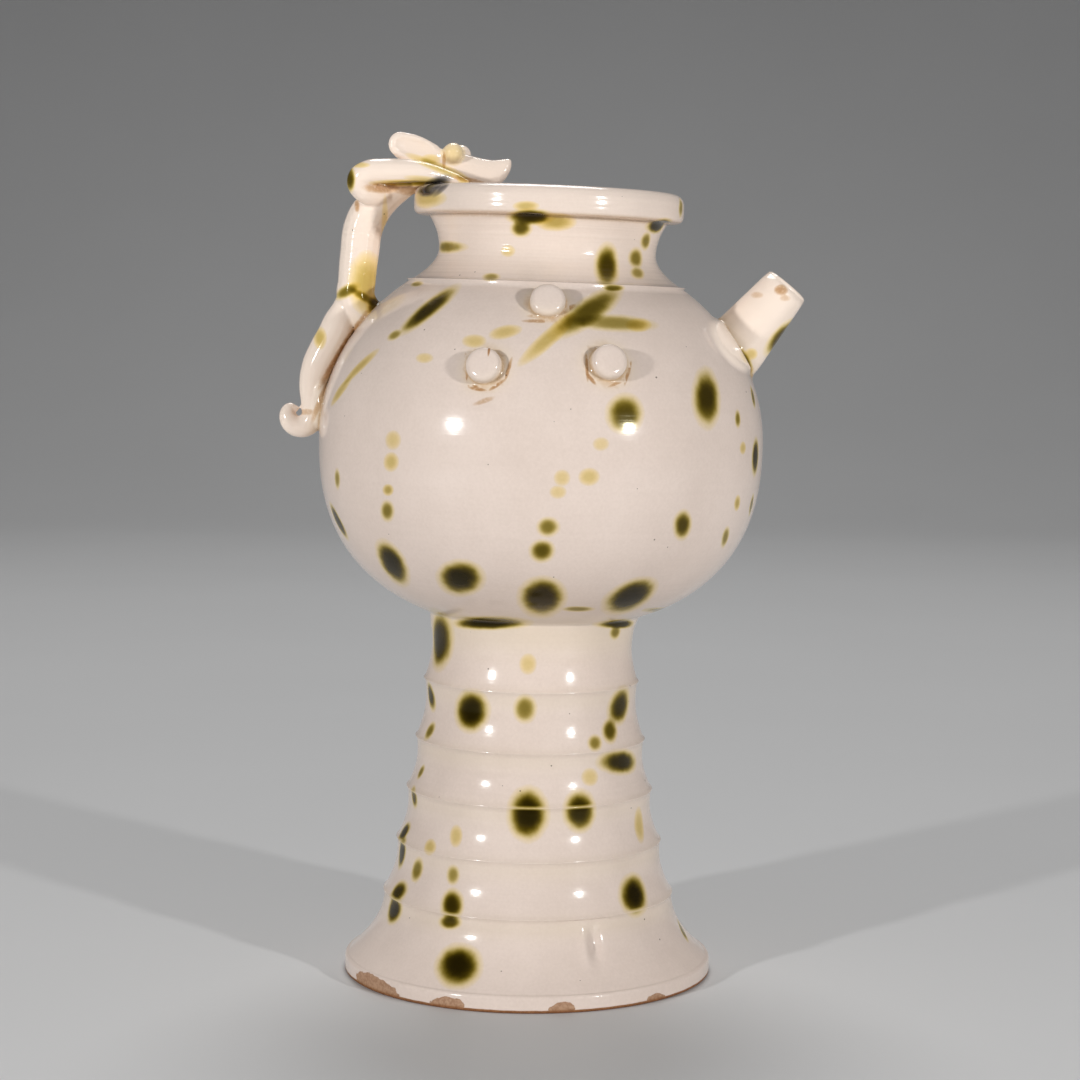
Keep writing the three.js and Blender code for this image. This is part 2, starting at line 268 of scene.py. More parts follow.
class Mark(NamedTuple):
    """A run of glaze, a stain, a chip or a patch of painted shade, where it shows in the photograph, in its
    pixels.

    Its depth is how much it covers, from 0 to 1, and its lean is in degrees. Its squeeze is how much
    narrower it shows in the photograph than on the sheet unrolled from the pot.
    """
    photo_x: float
    photo_y: float
    wide: float
    tall: float
    depth: float
    lean: float = 0.0
    squeeze: float = 1.0


# Splashes of green and ochre glaze
NECK_SPLASHES = [
    Mark(526, 206, 18, 7, 0.47), Mark(530, 217, 34, 12, 0.96), Mark(521, 228, 16, 13, 0.8),
    Mark(556, 222, 28, 12, 0.56), Mark(447, 247, 22, 9, 0.68), Mark(508, 251, 10, 8, 0.3),
    Mark(491, 277, 13, 6, 0.6), Mark(607, 266, 18, 32, 0.88), Mark(636, 258, 11, 15, 0.68),
    Mark(638, 273, 11, 9, 0.6), Mark(657, 226, 14, 11, 0.96), Mark(646, 241, 8, 13, 0.68),
    Mark(681, 208, 5, 14, 0.6), Mark(425, 198, 24, 14, 0.5), Mark(447, 189, 26, 9, 0.45),
]
SHOULDER_SPLASHES = [
    Mark(428, 310, 13, 50, 0.92, 48), Mark(394, 335, 11, 7, 0.6, -30), Mark(416, 284, 10, 4, 0.6),
    Mark(358, 368, 6, 34, 0.48, 42), Mark(340, 391, 6, 24, 0.46, 33), Mark(424, 358, 12, 7, 0.28),
    Mark(474, 341, 16, 9, 0.36), Mark(505, 332, 22, 9, 0.42, -12), Mark(588, 312, 19, 60, 0.8, 56),
    Mark(548, 339, 11, 50, 0.48, 47), Mark(615, 323, 62, 12, 0.6, 3), Mark(639, 325, 18, 9, 0.4),
    Mark(614, 288, 16, 5, 0.7),
]
BELLY_SPLASHES = [
    Mark(625, 414, 26, 28, 0.82), Mark(707, 398, 21, 42, 0.9), Mark(738, 419, 5, 13, 0.68),
    Mark(753, 397, 4, 16, 0.68), Mark(756, 457, 7, 28, 0.95), Mark(743, 448, 5, 9, 0.42),
    Mark(738, 503, 5, 11, 0.56), Mark(726, 537, 6, 15, 0.65), Mark(683, 525, 14, 21, 0.84),
    Mark(751, 505, 4, 16, 0.68), Mark(589, 477, 14, 12, 0.4), Mark(562, 478, 11, 11, 0.3),
    Mark(558, 492, 11, 9, 0.28), Mark(601, 444, 11, 9, 0.22), Mark(548, 527, 16, 14, 0.68),
    Mark(542, 551, 18, 16, 0.8), Mark(542, 597, 34, 28, 1.0), Mark(578, 609, 24, 4, 0.65),
    Mark(460, 578, 34, 25, 1.0), Mark(392, 563, 20, 34, 1.0, -25), Mark(387, 511, 11, 15, 0.68),
    Mark(388, 490, 8, 8, 0.56), Mark(391, 462, 11, 13, 0.45), Mark(393, 440, 11, 13, 0.32),
    Mark(337, 479, 5, 15, 0.6), Mark(338, 521, 6, 28, 0.95, -20), Mark(631, 596, 40, 22, 1.0, -25),
    Mark(658, 610, 24, 4, 0.6),
]
STEM_SPLASHES = [
    Mark(487, 623, 58, 10, 1.0), Mark(620, 624, 32, 7, 0.95), Mark(616, 632, 9, 11, 0.68),
    Mark(440, 640, 16, 42, 0.95), Mark(528, 664, 12, 14, 0.33), Mark(471, 711, 26, 30, 1.0),
    Mark(525, 709, 17, 20, 0.67), Mark(620, 706, 16, 28, 0.92, 15), Mark(610, 731, 12, 18, 0.8),
    Mark(595, 743, 11, 12, 0.65), Mark(621, 762, 30, 18, 0.96), Mark(590, 777, 12, 12, 0.32),
    Mark(431, 696, 6, 22, 0.9, -12), Mark(430, 731, 6, 14, 0.68, 18), Mark(421, 772, 4, 11, 0.66, 18),
    Mark(414, 797, 5, 16, 0.8, -8), Mark(528, 814, 30, 38, 1.0), Mark(580, 811, 24, 30, 0.96),
    Mark(639, 825, 7, 24, 0.42), Mark(404, 832, 8, 15, 0.93, 25), Mark(402, 852, 7, 24, 0.96, 5),
    Mark(456, 836, 9, 15, 0.4), Mark(430, 847, 9, 11, 0.45), Mark(417, 870, 9, 18, 0.68, 10),
    Mark(453, 875, 10, 14, 0.6), Mark(398, 892, 12, 17, 0.9, 20), Mark(394, 910, 12, 20, 0.98, 5),
    Mark(452, 905, 17, 23, 0.92), Mark(450, 922, 17, 11, 0.84), Mark(634, 895, 21, 30, 1.0),
    Mark(683, 930, 5, 17, 0.7), Mark(458, 966, 34, 31, 1.0),
]
HANDLE_SPLASHES = [
    Mark(350, 179, 8, 20, 0.85), Mark(360, 165, 14, 4, 0.35), Mark(402, 183, 44, 5, 0.5),
    Mark(414, 183, 44, 4, 0.6), Mark(438, 167, 46, 7, 0.44, 22), Mark(463, 180, 12, 6, 0.42, 40),
    Mark(367, 283, 26, 42, 0.54), Mark(376, 305, 13, 18, 0.8, 20), Mark(347, 291, 20, 9, 0.73, -30),
    Mark(320, 338, 9, 15, 0.5), Mark(430, 160, 14, 8, 0.36), Mark(453, 154, 17, 16, 0.2),
    Mark(430, 182, 34, 7, 0.36, 10), Mark(385, 235, 5, 54, 0.3), Mark(364, 297, 24, 7, 0.67, 30),
]
SPOUT_SPLASHES = [
    Mark(782, 337, 13, 34, 0.86, 43), Mark(745, 361, 8, 22, 0.8, -25), Mark(751, 354, 9, 8, 0.4),
]

# The smear of clay by the spout, the blue-black pool by the lip, and the chips on the foot
SPOUT_SMEAR = Mark(732, 346, 18, 46, 1.0, -40)
SOOT_MARKS = [
    Mark(435, 185, 28, 11, 1.0, -28), Mark(427, 191, 14, 9, 1.0), Mark(441, 190, 16, 4, 0.7, -40),
]
BARE_MARKS = [
    Mark(373, 986, 46, 17, 1.0, 26), Mark(447, 1004, 30, 12, 1.0, 4), Mark(563, 1009, 23, 12, 1.0, -3),
    Mark(656, 999, 17, 9, 1.0, -14),
]

# Dirt on the pot: brown lines round the bosses, darkened with painted shade along their lower and shadowed
# sides
GRIME_AND_SHADE_MARKS = [
    Mark(548, 316, 30, 4, 0.5), Mark(538, 321, 24, 3, 0.6), Mark(568, 309, 12, 4, 0.7, -30),
    Mark(467, 370, 3, 24, 0.9, -8), Mark(472, 383, 14, 3, 0.9, 40), Mark(497, 385, 15, 3, 0.8, -35),
    Mark(484, 401, 17, 4, 0.4, -20), Mark(478, 389, 14, 3, 0.8, 10), Mark(508, 370, 3, 18, 0.7, 15),
    Mark(587, 367, 3, 20, 0.9, -5), Mark(591, 379, 11, 3, 0.8, 50), Mark(628, 373, 3, 18, 0.8, 15),
    Mark(617, 383, 14, 3, 0.6, -25),
]
# On the handle, spout and bosses: rust on the spout, a bare spot and a crack, with painted shade under the
# arm, by the ear and the jaw, and in the gaps between the coils and the body
PART_GRIME_AND_SHADE_MARKS = [
    Mark(444, 161, 3, 14, 0.6), Mark(384, 188, 30, 8, 0.65), Mark(412, 190, 26, 8, 0.5),
    Mark(320, 402, 5, 34, 0.55, 22), Mark(306, 412, 12, 5, 0.4), Mark(468, 180, 30, 4, 0.55, 12),
    Mark(781, 290, 10, 8, 0.75), Mark(757, 295, 9, 5, 0.3), Mark(785, 298, 8, 5, 0.3),
    Mark(357, 206, 4, 9, 0.7), Mark(346, 346, 7, 72, 1.0, 33), Mark(489, 350, 2, 9, 1.0, 8),
]

# How marks spread and are laid; SHEET_PIXELS are the pixels in a metre of the sheet unrolled from the pot
MARK_HALO = 1.6
MARK_GAP = 22.0
NO_MARK = (2.0, 2.0, 0.0)
TURNED_AWAY = (-0.4, -0.15)
SHEET_PIXELS = 2812.0
LEAST_SQUEEZE = 0.35
SHOWN_AROUND = math.radians(105)
SKIN_DEPTH = BODY_WALL / 2

# Splashes on the side that the photograph doesn't show, with widths in its pixels
BACK_SPLASHES = 30
BACK_SEED = 7
BACK_MARKS_AROUND = math.radians(62)
BACK_LOWEST = 2 * FOOT_BAND_HEIGHT
BACK_WIDTHS = (8.0, 30.0)
BACK_STRETCH = (0.9, 1.4)
BACK_DEPTHS = (0.5, 1.0)

# How splashes stain the glaze; those less deep than this are faint
FAINT_DEPTH = 0.57
SPLASH_THICKNESS = 4.0
SPLASH_FALL = 3.0
FAINT_FALL = 3.6
YELLOW_FALL = 0.5
CREST_THINNING = 0.6
# The tint of what the glaze mirrors; that of the splashes keeps them olive above a pale floor
PLAIN_SHEEN = (1.0, 1.0, 1.0)
SPLASH_SHEEN = (0.5, 0.45, 0.2)

# Where the glaze is bare, dirty, pooled, darkened as painted shade under the lip, or whiter as painted light
# on the neck: amounts from 0 to 1, heights and reaches in metres
BARE_FOOT_TOP = 0.0018
BARE_FOOT_FULL = 0.0006
JOINT_DIRT = 0.45
# Painted shade in a line under the lip's overhang
LIP_SHADE = 0.3
DIRT_AND_SHADE_REACH = 0.0008
JOINT_POOL = 0.6
JOINT_POOL_REACH = 0.0035
STEM_TOP_POOL = 0.5
STEM_TOP_POOL_DROP = 0.004
STEM_TOP_POOL_REACH = 0.008
RING_POOL = 0.3
RING_POOL_DROP = 0.003
RING_POOL_REACH = 0.004
# Painted light: the neck and lip are made whiter, standing for brighter light on them
NECK_PAINTED_LIGHT = 0.4

# Noise in the glaze: how fine it is, and its detail
CLOUD_NOISE = (22.0, 3.0)
RIPPLE_NOISE = (230.0, 3.0)
GRAIN_NOISE = (900.0, 2.0)
RAGGED_NOISE = (420.0, 4.0)
MOTTLE_NOISE = (95.0, 4.0)
LINES_SCALE = 520.0
LINES_DETAIL = 3.0
NOISE_MIDDLE = 0.5

# How the noise shows in the glaze, the specks, the dirt with its painted shade, and the bare clay
EDGE_WANDER = 0.22
EDGE_RAGGEDNESS = 0.6
MOTTLE_SHARES = (0.75, 0.25)
UNEVEN_SHARES = (0.4, 0.3, 0.3)
THIN_RANGE = (0.3, 0.7)
LEAST_POOL = 0.4
SPECK_SCALE = 170.0
SPECK_RANGE = (0.55, 1.0)
SPECK_REACH = 0.065
SPECK_COVER = 0.75
GRIME_AND_SHADE_RANGE = (0.0, 0.55)
CHIP_EDGE = (0.4, 0.5)
CLAY_RIPPLE = 0.5
CLAY_EDGE = (0.6, 0.8)
CLAY_RANGE = (0.3, 0.7)
# Painted shade: the bare clay at the foot's edge and in the hollow is darkened
CLAY_SHADE = 0.8

# Roughness and relief of the glaze and the clay
CLAY_ROUGHNESS = 0.6
GLOSS_RIPPLE = 0.05
MIRROR_LEVEL = 0.35
LINES_RELIEF = 0.35
NECK_LINES_RELIEF = 2.6
NECK_LINES_BLEND = 0.004
RIPPLE_RELIEF = 0.3
CLAY_RELIEF = 1.5
CHIP_DEPTH = 1.2
RELIEF_STRENGTH = 0.15
RELIEF_DEPTH = 0.0006


def length(label, words, value):
    """A size that a user may change, in metres."""
    return bpy.props.FloatProperty(name=label, description=words, default=value, unit="LENGTH", precision=4)


def colour(label, words, value):
    """A colour that a user may change."""
    return bpy.props.FloatVectorProperty(
        name=label, description=words, default=value, subtype="COLOR", size=3, min=0.0, max=1.0)


def number(label, words, value):
    """A plain number that a user may change."""
    return bpy.props.FloatProperty(name=label, description=words, default=value)


class EwerSizes(bpy.types.PropertyGroup):
    """Sizes of the ewer."""
    foot_radius: length("Foot radius", "Radius of the flared foot where it stands", 0.0703)
    body_radius: length("Body radius", "Radius of the round body at its widest", 0.0842)
    neck_radius: length("Neck radius", "Radius of the neck at its narrowest", 0.041)
    lip_radius: length("Lip radius", "Radius of the rolled lip", 0.051)
    lip_top: length("Lip height", "Height of the lip above the ground", 0.2983)
    spout_length: length("Spout length", "Length of the spout outside the body", 0.0305)
    boss_radius: length("Boss radius", "Radius of each boss on the shoulder", 0.0064)


class EwerGlaze(bpy.types.PropertyGroup):
    """Colours of the clay and the glaze."""
    white: colour("White glaze", "The cream-white glaze", (0.80, 0.675, 0.598))
    thin: colour("Thin glaze", "The white glaze where the clay shows through", (0.725, 0.603, 0.527))
    # Painted light: this whiter colour is laid on the handle, spout, smear and neck for light that falls
    # brighter there
    painted_light: colour("Fresh glaze", "The whiter glaze of the handle and the spout", (0.97, 0.82, 0.70))
    warm: colour("Pooled glaze", "The white glaze where it lies thick", (0.76, 0.64, 0.47))
    green: colour("Green stain", "What a thin layer of the green stain lets through", (0.37, 0.35, 0.135))
    yellow: colour("Yellow stain", "What the yellow edge of a splash lets through", (0.95, 0.86, 0.46))
    ochre: colour("Ochre stain", "What a thin splash lets through", (0.96, 0.80, 0.30))
    clay: colour("Clay", "The bare fired clay", (0.36, 0.20, 0.115))
    clay_light: colour("Light clay", "The paler grain of the bare clay", (0.48, 0.30, 0.19))
    speck: colour("Specks", "Iron specks in the glaze", (0.09, 0.06, 0.04))
    # This stain darkens real dirt and rust, and also paints shade in the recesses, under the lip and round
    # the bosses' lower sides
    grime_and_shade: colour("Grime", "What a layer of old dirt lets through", (0.50, 0.31, 0.165))
    soot: colour("Blue-black", "The blue-black pool by the lip", (0.024, 0.024, 0.026))
    gloss: number("Roughness", "Roughness of the glaze", 0.13)


class EwerStage(bpy.types.PropertyGroup):
    """Light and floor."""
    floor: colour("Floor", "Colour of the floor", (0.64, 0.64, 0.64))
    backdrop: colour("Backdrop", "Colour of the light all around", (0.95, 0.95, 0.96))
    key_power: number("Key lights", "Power of each soft box in front, in watts", 11.2)
    back_power: number("Back light", "Power of the large soft box above and behind, in watts", 25.0)
    world_strength: number("World", "Strength of the light all around", 0.15)


def deselect():
    """Leave nothing selected, in object mode."""
    if bpy.context.mode != "OBJECT":
        bpy.ops.object.mode_set(mode="OBJECT")
    bpy.ops.object.select_all(action="DESELECT")


def pick(*shapes):
    """Select these objects, the first of them active."""
    deselect()
    for shape in shapes:
        shape.select_set(True)
    bpy.context.view_layer.objects.active = shapes[0]


def apply_modifier(shape, kind, **settings):
    """Add a modifier with these settings and apply it."""
    pick(shape)
    bpy.ops.object.modifier_add(type=kind)
    modifier = shape.modifiers[-1]
    for name, value in settings.items():
        setattr(modifier, name, value)
    bpy.ops.object.modifier_apply(modifier=modifier.name)


def apply_place(shape):
    """Put the object's place, turn and scale into its vertices."""
    pick(shape)
    bpy.ops.object.transform_apply(location=True, rotation=True, scale=True)


def join(*shapes):
    """Make one object of several, under the first one's name."""
    pick(*shapes)
    bpy.ops.object.join()
    return bpy.context.object


def combine(shape, other, operation):
    """Unite two closed shapes, or cut one with the other, and drop the other."""
    apply_modifier(shape, "BOOLEAN", object=other, operation=operation, solver="MANIFOLD",
                   material_mode="TRANSFER")
    bpy.data.objects.remove(other, do_unlink=True)


def choose(shape, chosen):
    """Go into edit mode with these vertices selected."""
    pick(shape)
    bpy.ops.object.mode_set(mode="EDIT")
    bpy.ops.mesh.select_mode(type="VERT")
    bpy.ops.mesh.select_all(action="DESELECT")
    bpy.ops.object.mode_set(mode="OBJECT")
    shape.data.vertices.foreach_set("select", chosen)
    bpy.ops.object.mode_set(mode="EDIT")


def refine(shape, chosen):
    """Divide the faces between these vertices, so that a small form can be worked into them."""
    choose(shape, chosen)
    bpy.ops.mesh.subdivide(number_cuts=REFINE_CUTS)
    bpy.ops.object.mode_set(mode="OBJECT")


def name_clay(shape, name):
    """Name a piece of clay, and mark its faces so that its joints can be found later."""
    shape.name = name
    shape.data.materials.clear()
    shape.data.materials.append(bpy.data.materials.get(name) or bpy.data.materials.new(name))


def smoothstep(value, low, high):
    """0 below low, 1 above high, smooth between."""
    share = np.clip((value - low) / (high - low), 0.0, 1.0)
    return share * share * (3.0 - 2.0 * share)


def bump(value, centre, width):
    """A smooth bump of height 1 at the centre."""
    return np.exp(-((value - centre) / width) ** 2)


def steps(count):
    """Even steps from 0 to 1."""
    return np.linspace(0.0, 1.0, count + 1)


def eased(count):
    """Steps from 0 to 1, close together at both ends."""
    return 0.5 - 0.5 * np.cos(np.pi * steps(count))


def superellipse(radius, height, fullness, turns):
    """Radius and rise of a full curve at each turn from its widest level."""
    power = 2.0 / fullness
    return radius * np.cos(turns) ** power, height * np.sin(turns) ** power


def turn_at(rise, height, fullness):
    """The turn at which such a curve has risen this far."""
    return math.asin((rise / height) ** (fullness / 2.0))


def rows(radii, heights):
    """Pairs of radius and height."""
    return list(zip(np.broadcast_to(radii, np.shape(heights)), heights))


def stem_outline(height):
    """Radius of the stem at a height, without its coves."""
    levels = RING_HEIGHTS + [STEM_TOP_HEIGHT]
    return np.interp(height, levels, RING_RADII + [STEM_TOP_RADIUS])


def stem_crests(height):
    """How near a height is to one of the thin raised rings, from 0 to 1."""
    return sum(bump(height, ring, CREST_WIDTH) for ring in RING_HEIGHTS)


def hollow_profile(sizes):
    """Under the stem, from the middle of its roof down to the foot."""
    roof = stem_outline(STEM_HOLLOW_TOP - HOLLOW_ROUND) - STEM_WALL
    turns = steps(HOLLOW_CORNER_STEPS) * math.pi / 2
    corner = rows(roof - HOLLOW_ROUND + HOLLOW_ROUND * np.sin(turns),
                  STEM_HOLLOW_TOP - HOLLOW_ROUND + HOLLOW_ROUND * np.cos(turns))
    wall_heights = np.linspace(STEM_HOLLOW_TOP - HOLLOW_ROUND, RING_HEIGHTS[0], HOLLOW_WALL_LEVELS)
    wall = rows(stem_outline(wall_heights) - STEM_WALL, wall_heights)
    share = steps(HOLLOW_FLARE_STEPS)
    narrow = RING_RADII[0] - STEM_WALL
    spread = sizes.foot_radius - FOOT_RIM_WIDTH - narrow
    flare = rows(narrow + spread * share ** FLARE_POWER, RING_HEIGHTS[0] * (1.0 - share))
    return [(0.0, STEM_HOLLOW_TOP)] + corner + wall + flare


def foot_profile(sizes):
    """The standing ring, its band and the flare up to the first ring."""
    turns = steps(FOOT_EDGE_STEPS) * math.pi / 2
    edge = sizes.foot_radius - FOOT_EDGE_ROUND
    lower = rows(edge + FOOT_EDGE_ROUND * np.sin(turns), FOOT_EDGE_ROUND * (1.0 - np.cos(turns)))
    band_heights = np.linspace(FOOT_EDGE_ROUND, FOOT_BAND_HEIGHT - FOOT_STEP_IN, FOOT_BAND_LEVELS)[1:]
    band = rows(sizes.foot_radius, band_heights)
    upper = rows(sizes.foot_radius - FOOT_STEP_IN * (1.0 - np.cos(turns)),
                 FOOT_BAND_HEIGHT - FOOT_STEP_IN * (1.0 - np.sin(turns)))
    share = eased(FOOT_FLARE_STEPS)
    spread = sizes.foot_radius - FOOT_STEP_IN - RING_RADII[0]
    heights = FOOT_BAND_HEIGHT + (RING_HEIGHTS[0] - FOOT_BAND_HEIGHT) * share
    radii = RING_RADII[0] + spread * (1.0 - share) ** FLARE_POWER + CREST_RISE * stem_crests(heights)
    return lower + band + upper + rows(radii, heights)


def stem_profile():
    """Coves between thin rings, up to where the body sits."""
    profile = []
    levels = RING_HEIGHTS + [STEM_TOP_HEIGHT]
    depths = [COVE_DEPTH] * (len(RING_HEIGHTS) - 1) + [TOP_COVE_DEPTH]
    for low, high, depth in zip(levels, levels[1:], depths):
        share = eased(COVE_STEPS)
        heights = low + (high - low) * share
        radii = stem_outline(heights) - depth * np.sin(np.pi * share) + CREST_RISE * stem_crests(heights)
        profile += rows(radii, heights)
    return profile


def body_profile(sizes, shrink, lowest, highest, count=BODY_STEPS):
    """The round body from its floor to its shoulder, drawn in by a wall's thickness."""
    radius = sizes.body_radius - shrink
    below = LOWER_HEIGHT - shrink
    above = UPPER_HEIGHT - shrink
    low_turn = turn_at(BODY_LEVEL - lowest, below, LOWER_FULLNESS)
    high_turn = turn_at(highest - BODY_LEVEL, above, UPPER_FULLNESS)
    radii, drop = superellipse(radius, below, LOWER_FULLNESS, low_turn * (1.0 - steps(count)))
    lower = rows(radii, BODY_LEVEL - drop)
    radii, rise = superellipse(radius, above, UPPER_FULLNESS, high_turn * steps(count))
    return lower + rows(radii, BODY_LEVEL + rise)


def neck_profile(sizes):
    """The neck, from a thin ridge at the shoulder up to the lip."""
    shoulder = body_profile(sizes, 0.0, LOWER_FLOOR, UPPER_TOP)[-1][0]
    share = eased(NECK_FOOT_STEPS)
    heights = UPPER_TOP + (NECK_LEVEL - UPPER_TOP) * share
    ridge = NECK_RIDGE_RISE * bump(heights, UPPER_TOP, NECK_RIDGE_WIDTH)
    spread = (shoulder - sizes.neck_radius) * (1.0 - share) ** NECK_SPREAD_POWER
    lower = rows(sizes.neck_radius + spread + ridge, heights + ridge)
    share = steps(NECK_TOP_STEPS)
    heights = NECK_LEVEL + (LIP_BOTTOM - NECK_LEVEL) * share
    spread = (LIP_ROOT_RADIUS - sizes.neck_radius) * share ** NECK_FLARE_POWER
    return lower + rows(sizes.neck_radius + spread, heights)


def lip_profile(sizes):
    """The rolled lip, from under it over its top to the mouth."""
    half = (sizes.lip_top - LIP_BOTTOM) / 2.0
    turns = steps(LIP_STEPS) * math.pi / 2
    middle = LIP_BOTTOM + half
    out, drop = superellipse(sizes.lip_radius - LIP_ROOT_RADIUS, half, LIP_UNDER_FULLNESS, turns)
    under = rows(LIP_ROOT_RADIUS + out[::-1], middle - drop[::-1])
    out, rise = superellipse(sizes.lip_radius - LIP_ROOT_RADIUS, half, LIP_FULLNESS, turns)
    return under + rows(LIP_ROOT_RADIUS + out, middle + rise)


def room_profile(sizes):
    """Inside the mouth, the neck and the body, down to the middle of its floor."""
    throat = sizes.neck_radius - NECK_WALL
    flare_low = sizes.lip_top - MOUTH_FLARE_HEIGHT
    share = steps(MOUTH_STEPS)
    mouth = rows(LIP_ROOT_RADIUS + (MOUTH_RADIUS - LIP_ROOT_RADIUS) * np.sin(share * math.pi / 2),
                 sizes.lip_top + (flare_low - sizes.lip_top) * share)
    share = steps(THROAT_STEPS)
    neck = rows(throat + (MOUTH_RADIUS - throat) * (1.0 - share) ** NECK_FLARE_POWER,
                flare_low + (NECK_LEVEL - flare_low) * share)
    room = body_profile(sizes, BODY_WALL, BODY_FLOOR + STEM_WALL / 2, ROOM_TOP, ROOM_STEPS)[::-1]
    top_radius = room[0][0]
    shoulder = rows(throat + (top_radius - throat) * share ** NECK_SPREAD_POWER,
                    NECK_LEVEL + (ROOM_TOP - NECK_LEVEL) * share)
    floor_radius, floor_height = room[-1]
    left = 1.0 - steps(FLOOR_STEPS)[1:]
    floor = rows(floor_radius * left, BODY_FLOOR + (floor_height - BODY_FLOOR) * left ** FLOOR_POWER)
    return mouth + neck + shoulder + room + floor


def outside_radius(sizes, heights):
    """Radius of the upright pot's outside at each height."""
    outside = stem_profile() + body_profile(sizes, 0.0, LOWER_FLOOR, UPPER_TOP) + neck_profile(sizes)
    outside = foot_profile(sizes) + outside + lip_profile(sizes)
    radii, levels = np.array(outside).T
    order = np.argsort(levels, kind="stable")
    return np.interp(heights, levels[order], radii[order])


def turned(name, profile, sides):
    """Draw a profile point by point and spin it about the upright axis."""
    deselect()
    bpy.ops.mesh.primitive_plane_add()
    shape = bpy.context.object
    bpy.ops.object.mode_set(mode="EDIT")
    bpy.ops.mesh.merge(type="CENTER")
    pen = Vector((profile[0][0], 0.0, profile[0][1]))
    bpy.ops.transform.translate(value=pen)
    for radius, height in profile[1:]:
        point = Vector((radius, 0.0, height))
        bpy.ops.mesh.extrude_vertices_move(TRANSFORM_OT_translate={"value": point - pen})
        pen = point
    bpy.ops.mesh.select_all(action="SELECT")
    bpy.ops.mesh.remove_doubles(threshold=DRAWN_MERGE)
    bpy.ops.mesh.spin(steps=sides, angle=2.0 * math.pi, center=(0, 0, 0), axis=(0, 0, 1))
    bpy.ops.mesh.select_all(action="SELECT")
    bpy.ops.mesh.remove_doubles(threshold=TURNED_MERGE)
    bpy.ops.mesh.normals_make_consistent(inside=False)
    bpy.ops.object.mode_set(mode="OBJECT")
    name_clay(shape, name)
    return shape


def coordinates(shape):
    """The vertices of an object as rows of x, y, z."""
    places = np.empty(len(shape.data.vertices) * 3)
    shape.data.vertices.foreach_get("co", places)
    return places.reshape(-1, 3)


def set_coordinates(shape, places):
    """Move the vertices of an object."""
    shape.data.vertices.foreach_set("co", places.ravel())
    shape.data.update()


def around_from_front(places):
    """Degrees around the axis, from the front towards the spout."""
    return np.degrees(np.arctan2(places[:, 0], -places[:, 1]))


def lean_at(height, lip_top):
    """How far the axis of the leaning pot lies towards the spout at a height."""
    shift = BODY_SHIFT * smoothstep(height - STEM_TOP_HEIGHT, -SHIFT_BLEND, SHIFT_BLEND)
    return SLUMP * (height / lip_top) ** 2 + shift


def lean_slope(height, lip_top):
    """How steeply the axis leans at a height."""
    return 2.0 * SLUMP * height / lip_top ** 2


def lean_over(places, lip_top):
    """Let an upright pot lean as it did in the fire."""
    leaned = places.copy()
    leaned[:, 0] += lean_at(places[:, 2], lip_top)
    leaned[:, 2] -= places[:, 0] * lean_slope(places[:, 2], lip_top)
    return leaned


def stand_up(places, lip_top):
    """Where points of the leaning pot would be on the upright pot."""
    upright = places.copy()
    upright[:, 0] -= lean_at(places[:, 2], lip_top)
    upright[:, 2] += upright[:, 0] * lean_slope(places[:, 2], lip_top)
    return upright


def work_by_hand(upright):
    """Give the turned pot its uneven wall and its finger mark."""
    around = np.radians(around_from_front(upright))
    height = upright[:, 2]
    uneven = sum(share * np.sin(waves * around + twist * height) for share, waves, twist in UNEVEN_WAVES)
    mark = bump(np.degrees(around), FINGER_MARK_AROUND, FINGER_MARK_TURN)
    mark -= bump(np.degrees(around), FINGER_MARK_AROUND + 2 * FINGER_MARK_TURN, FINGER_MARK_TURN)
    mark *= bump(height, FINGER_MARK_HEIGHT, FINGER_MARK_REACH)
    radius = np.maximum(np.hypot(upright[:, 0], upright[:, 1]), LEAST_RADIUS)
    worked = upright.copy()
    worked[:, :2] *= (1.0 + uneven + FINGER_MARK_RISE * mark / radius)[:, None]
    return worked


def coil(name, points):
    """Roll a coil of clay through these points, each with its own radius."""
    deselect()
    bpy.ops.curve.primitive_bezier_curve_add()
    shape = bpy.context.object
    rope = shape.data
    spline = rope.splines[0]
    spline.bezier_points.add(len(points) - len(spline.bezier_points))
    for knot, (x, y, z, radius) in zip(spline.bezier_points, points):
        knot.co = (x, y, z)
        knot.radius = radius
        knot.handle_left_type = "AUTO"
        knot.handle_right_type = "AUTO"
    spline.radius_interpolation = "CARDINAL"
    rope.bevel_depth = 1.0
    rope.bevel_resolution = COIL_ROUND_STEPS
    rope.resolution_u = COIL_STEPS
    rope.use_fill_caps = True
    bpy.ops.object.convert(target="MESH")
    shape.name = name
    ends = [ball(points[0][:3], [points[0][3]] * 3), ball(points[-1][:3], [points[-1][3]] * 3)]
    return join(shape, *ends)


def ball(place, size):
    """A ball or a longer pellet of clay."""
    deselect()
    bpy.ops.mesh.primitive_uv_sphere_add(
        segments=BALL_SEGMENTS, ring_count=BALL_RINGS, radius=1.0, location=place)
    shape = bpy.context.object
    shape.scale = size
    apply_place(shape)
    return shape


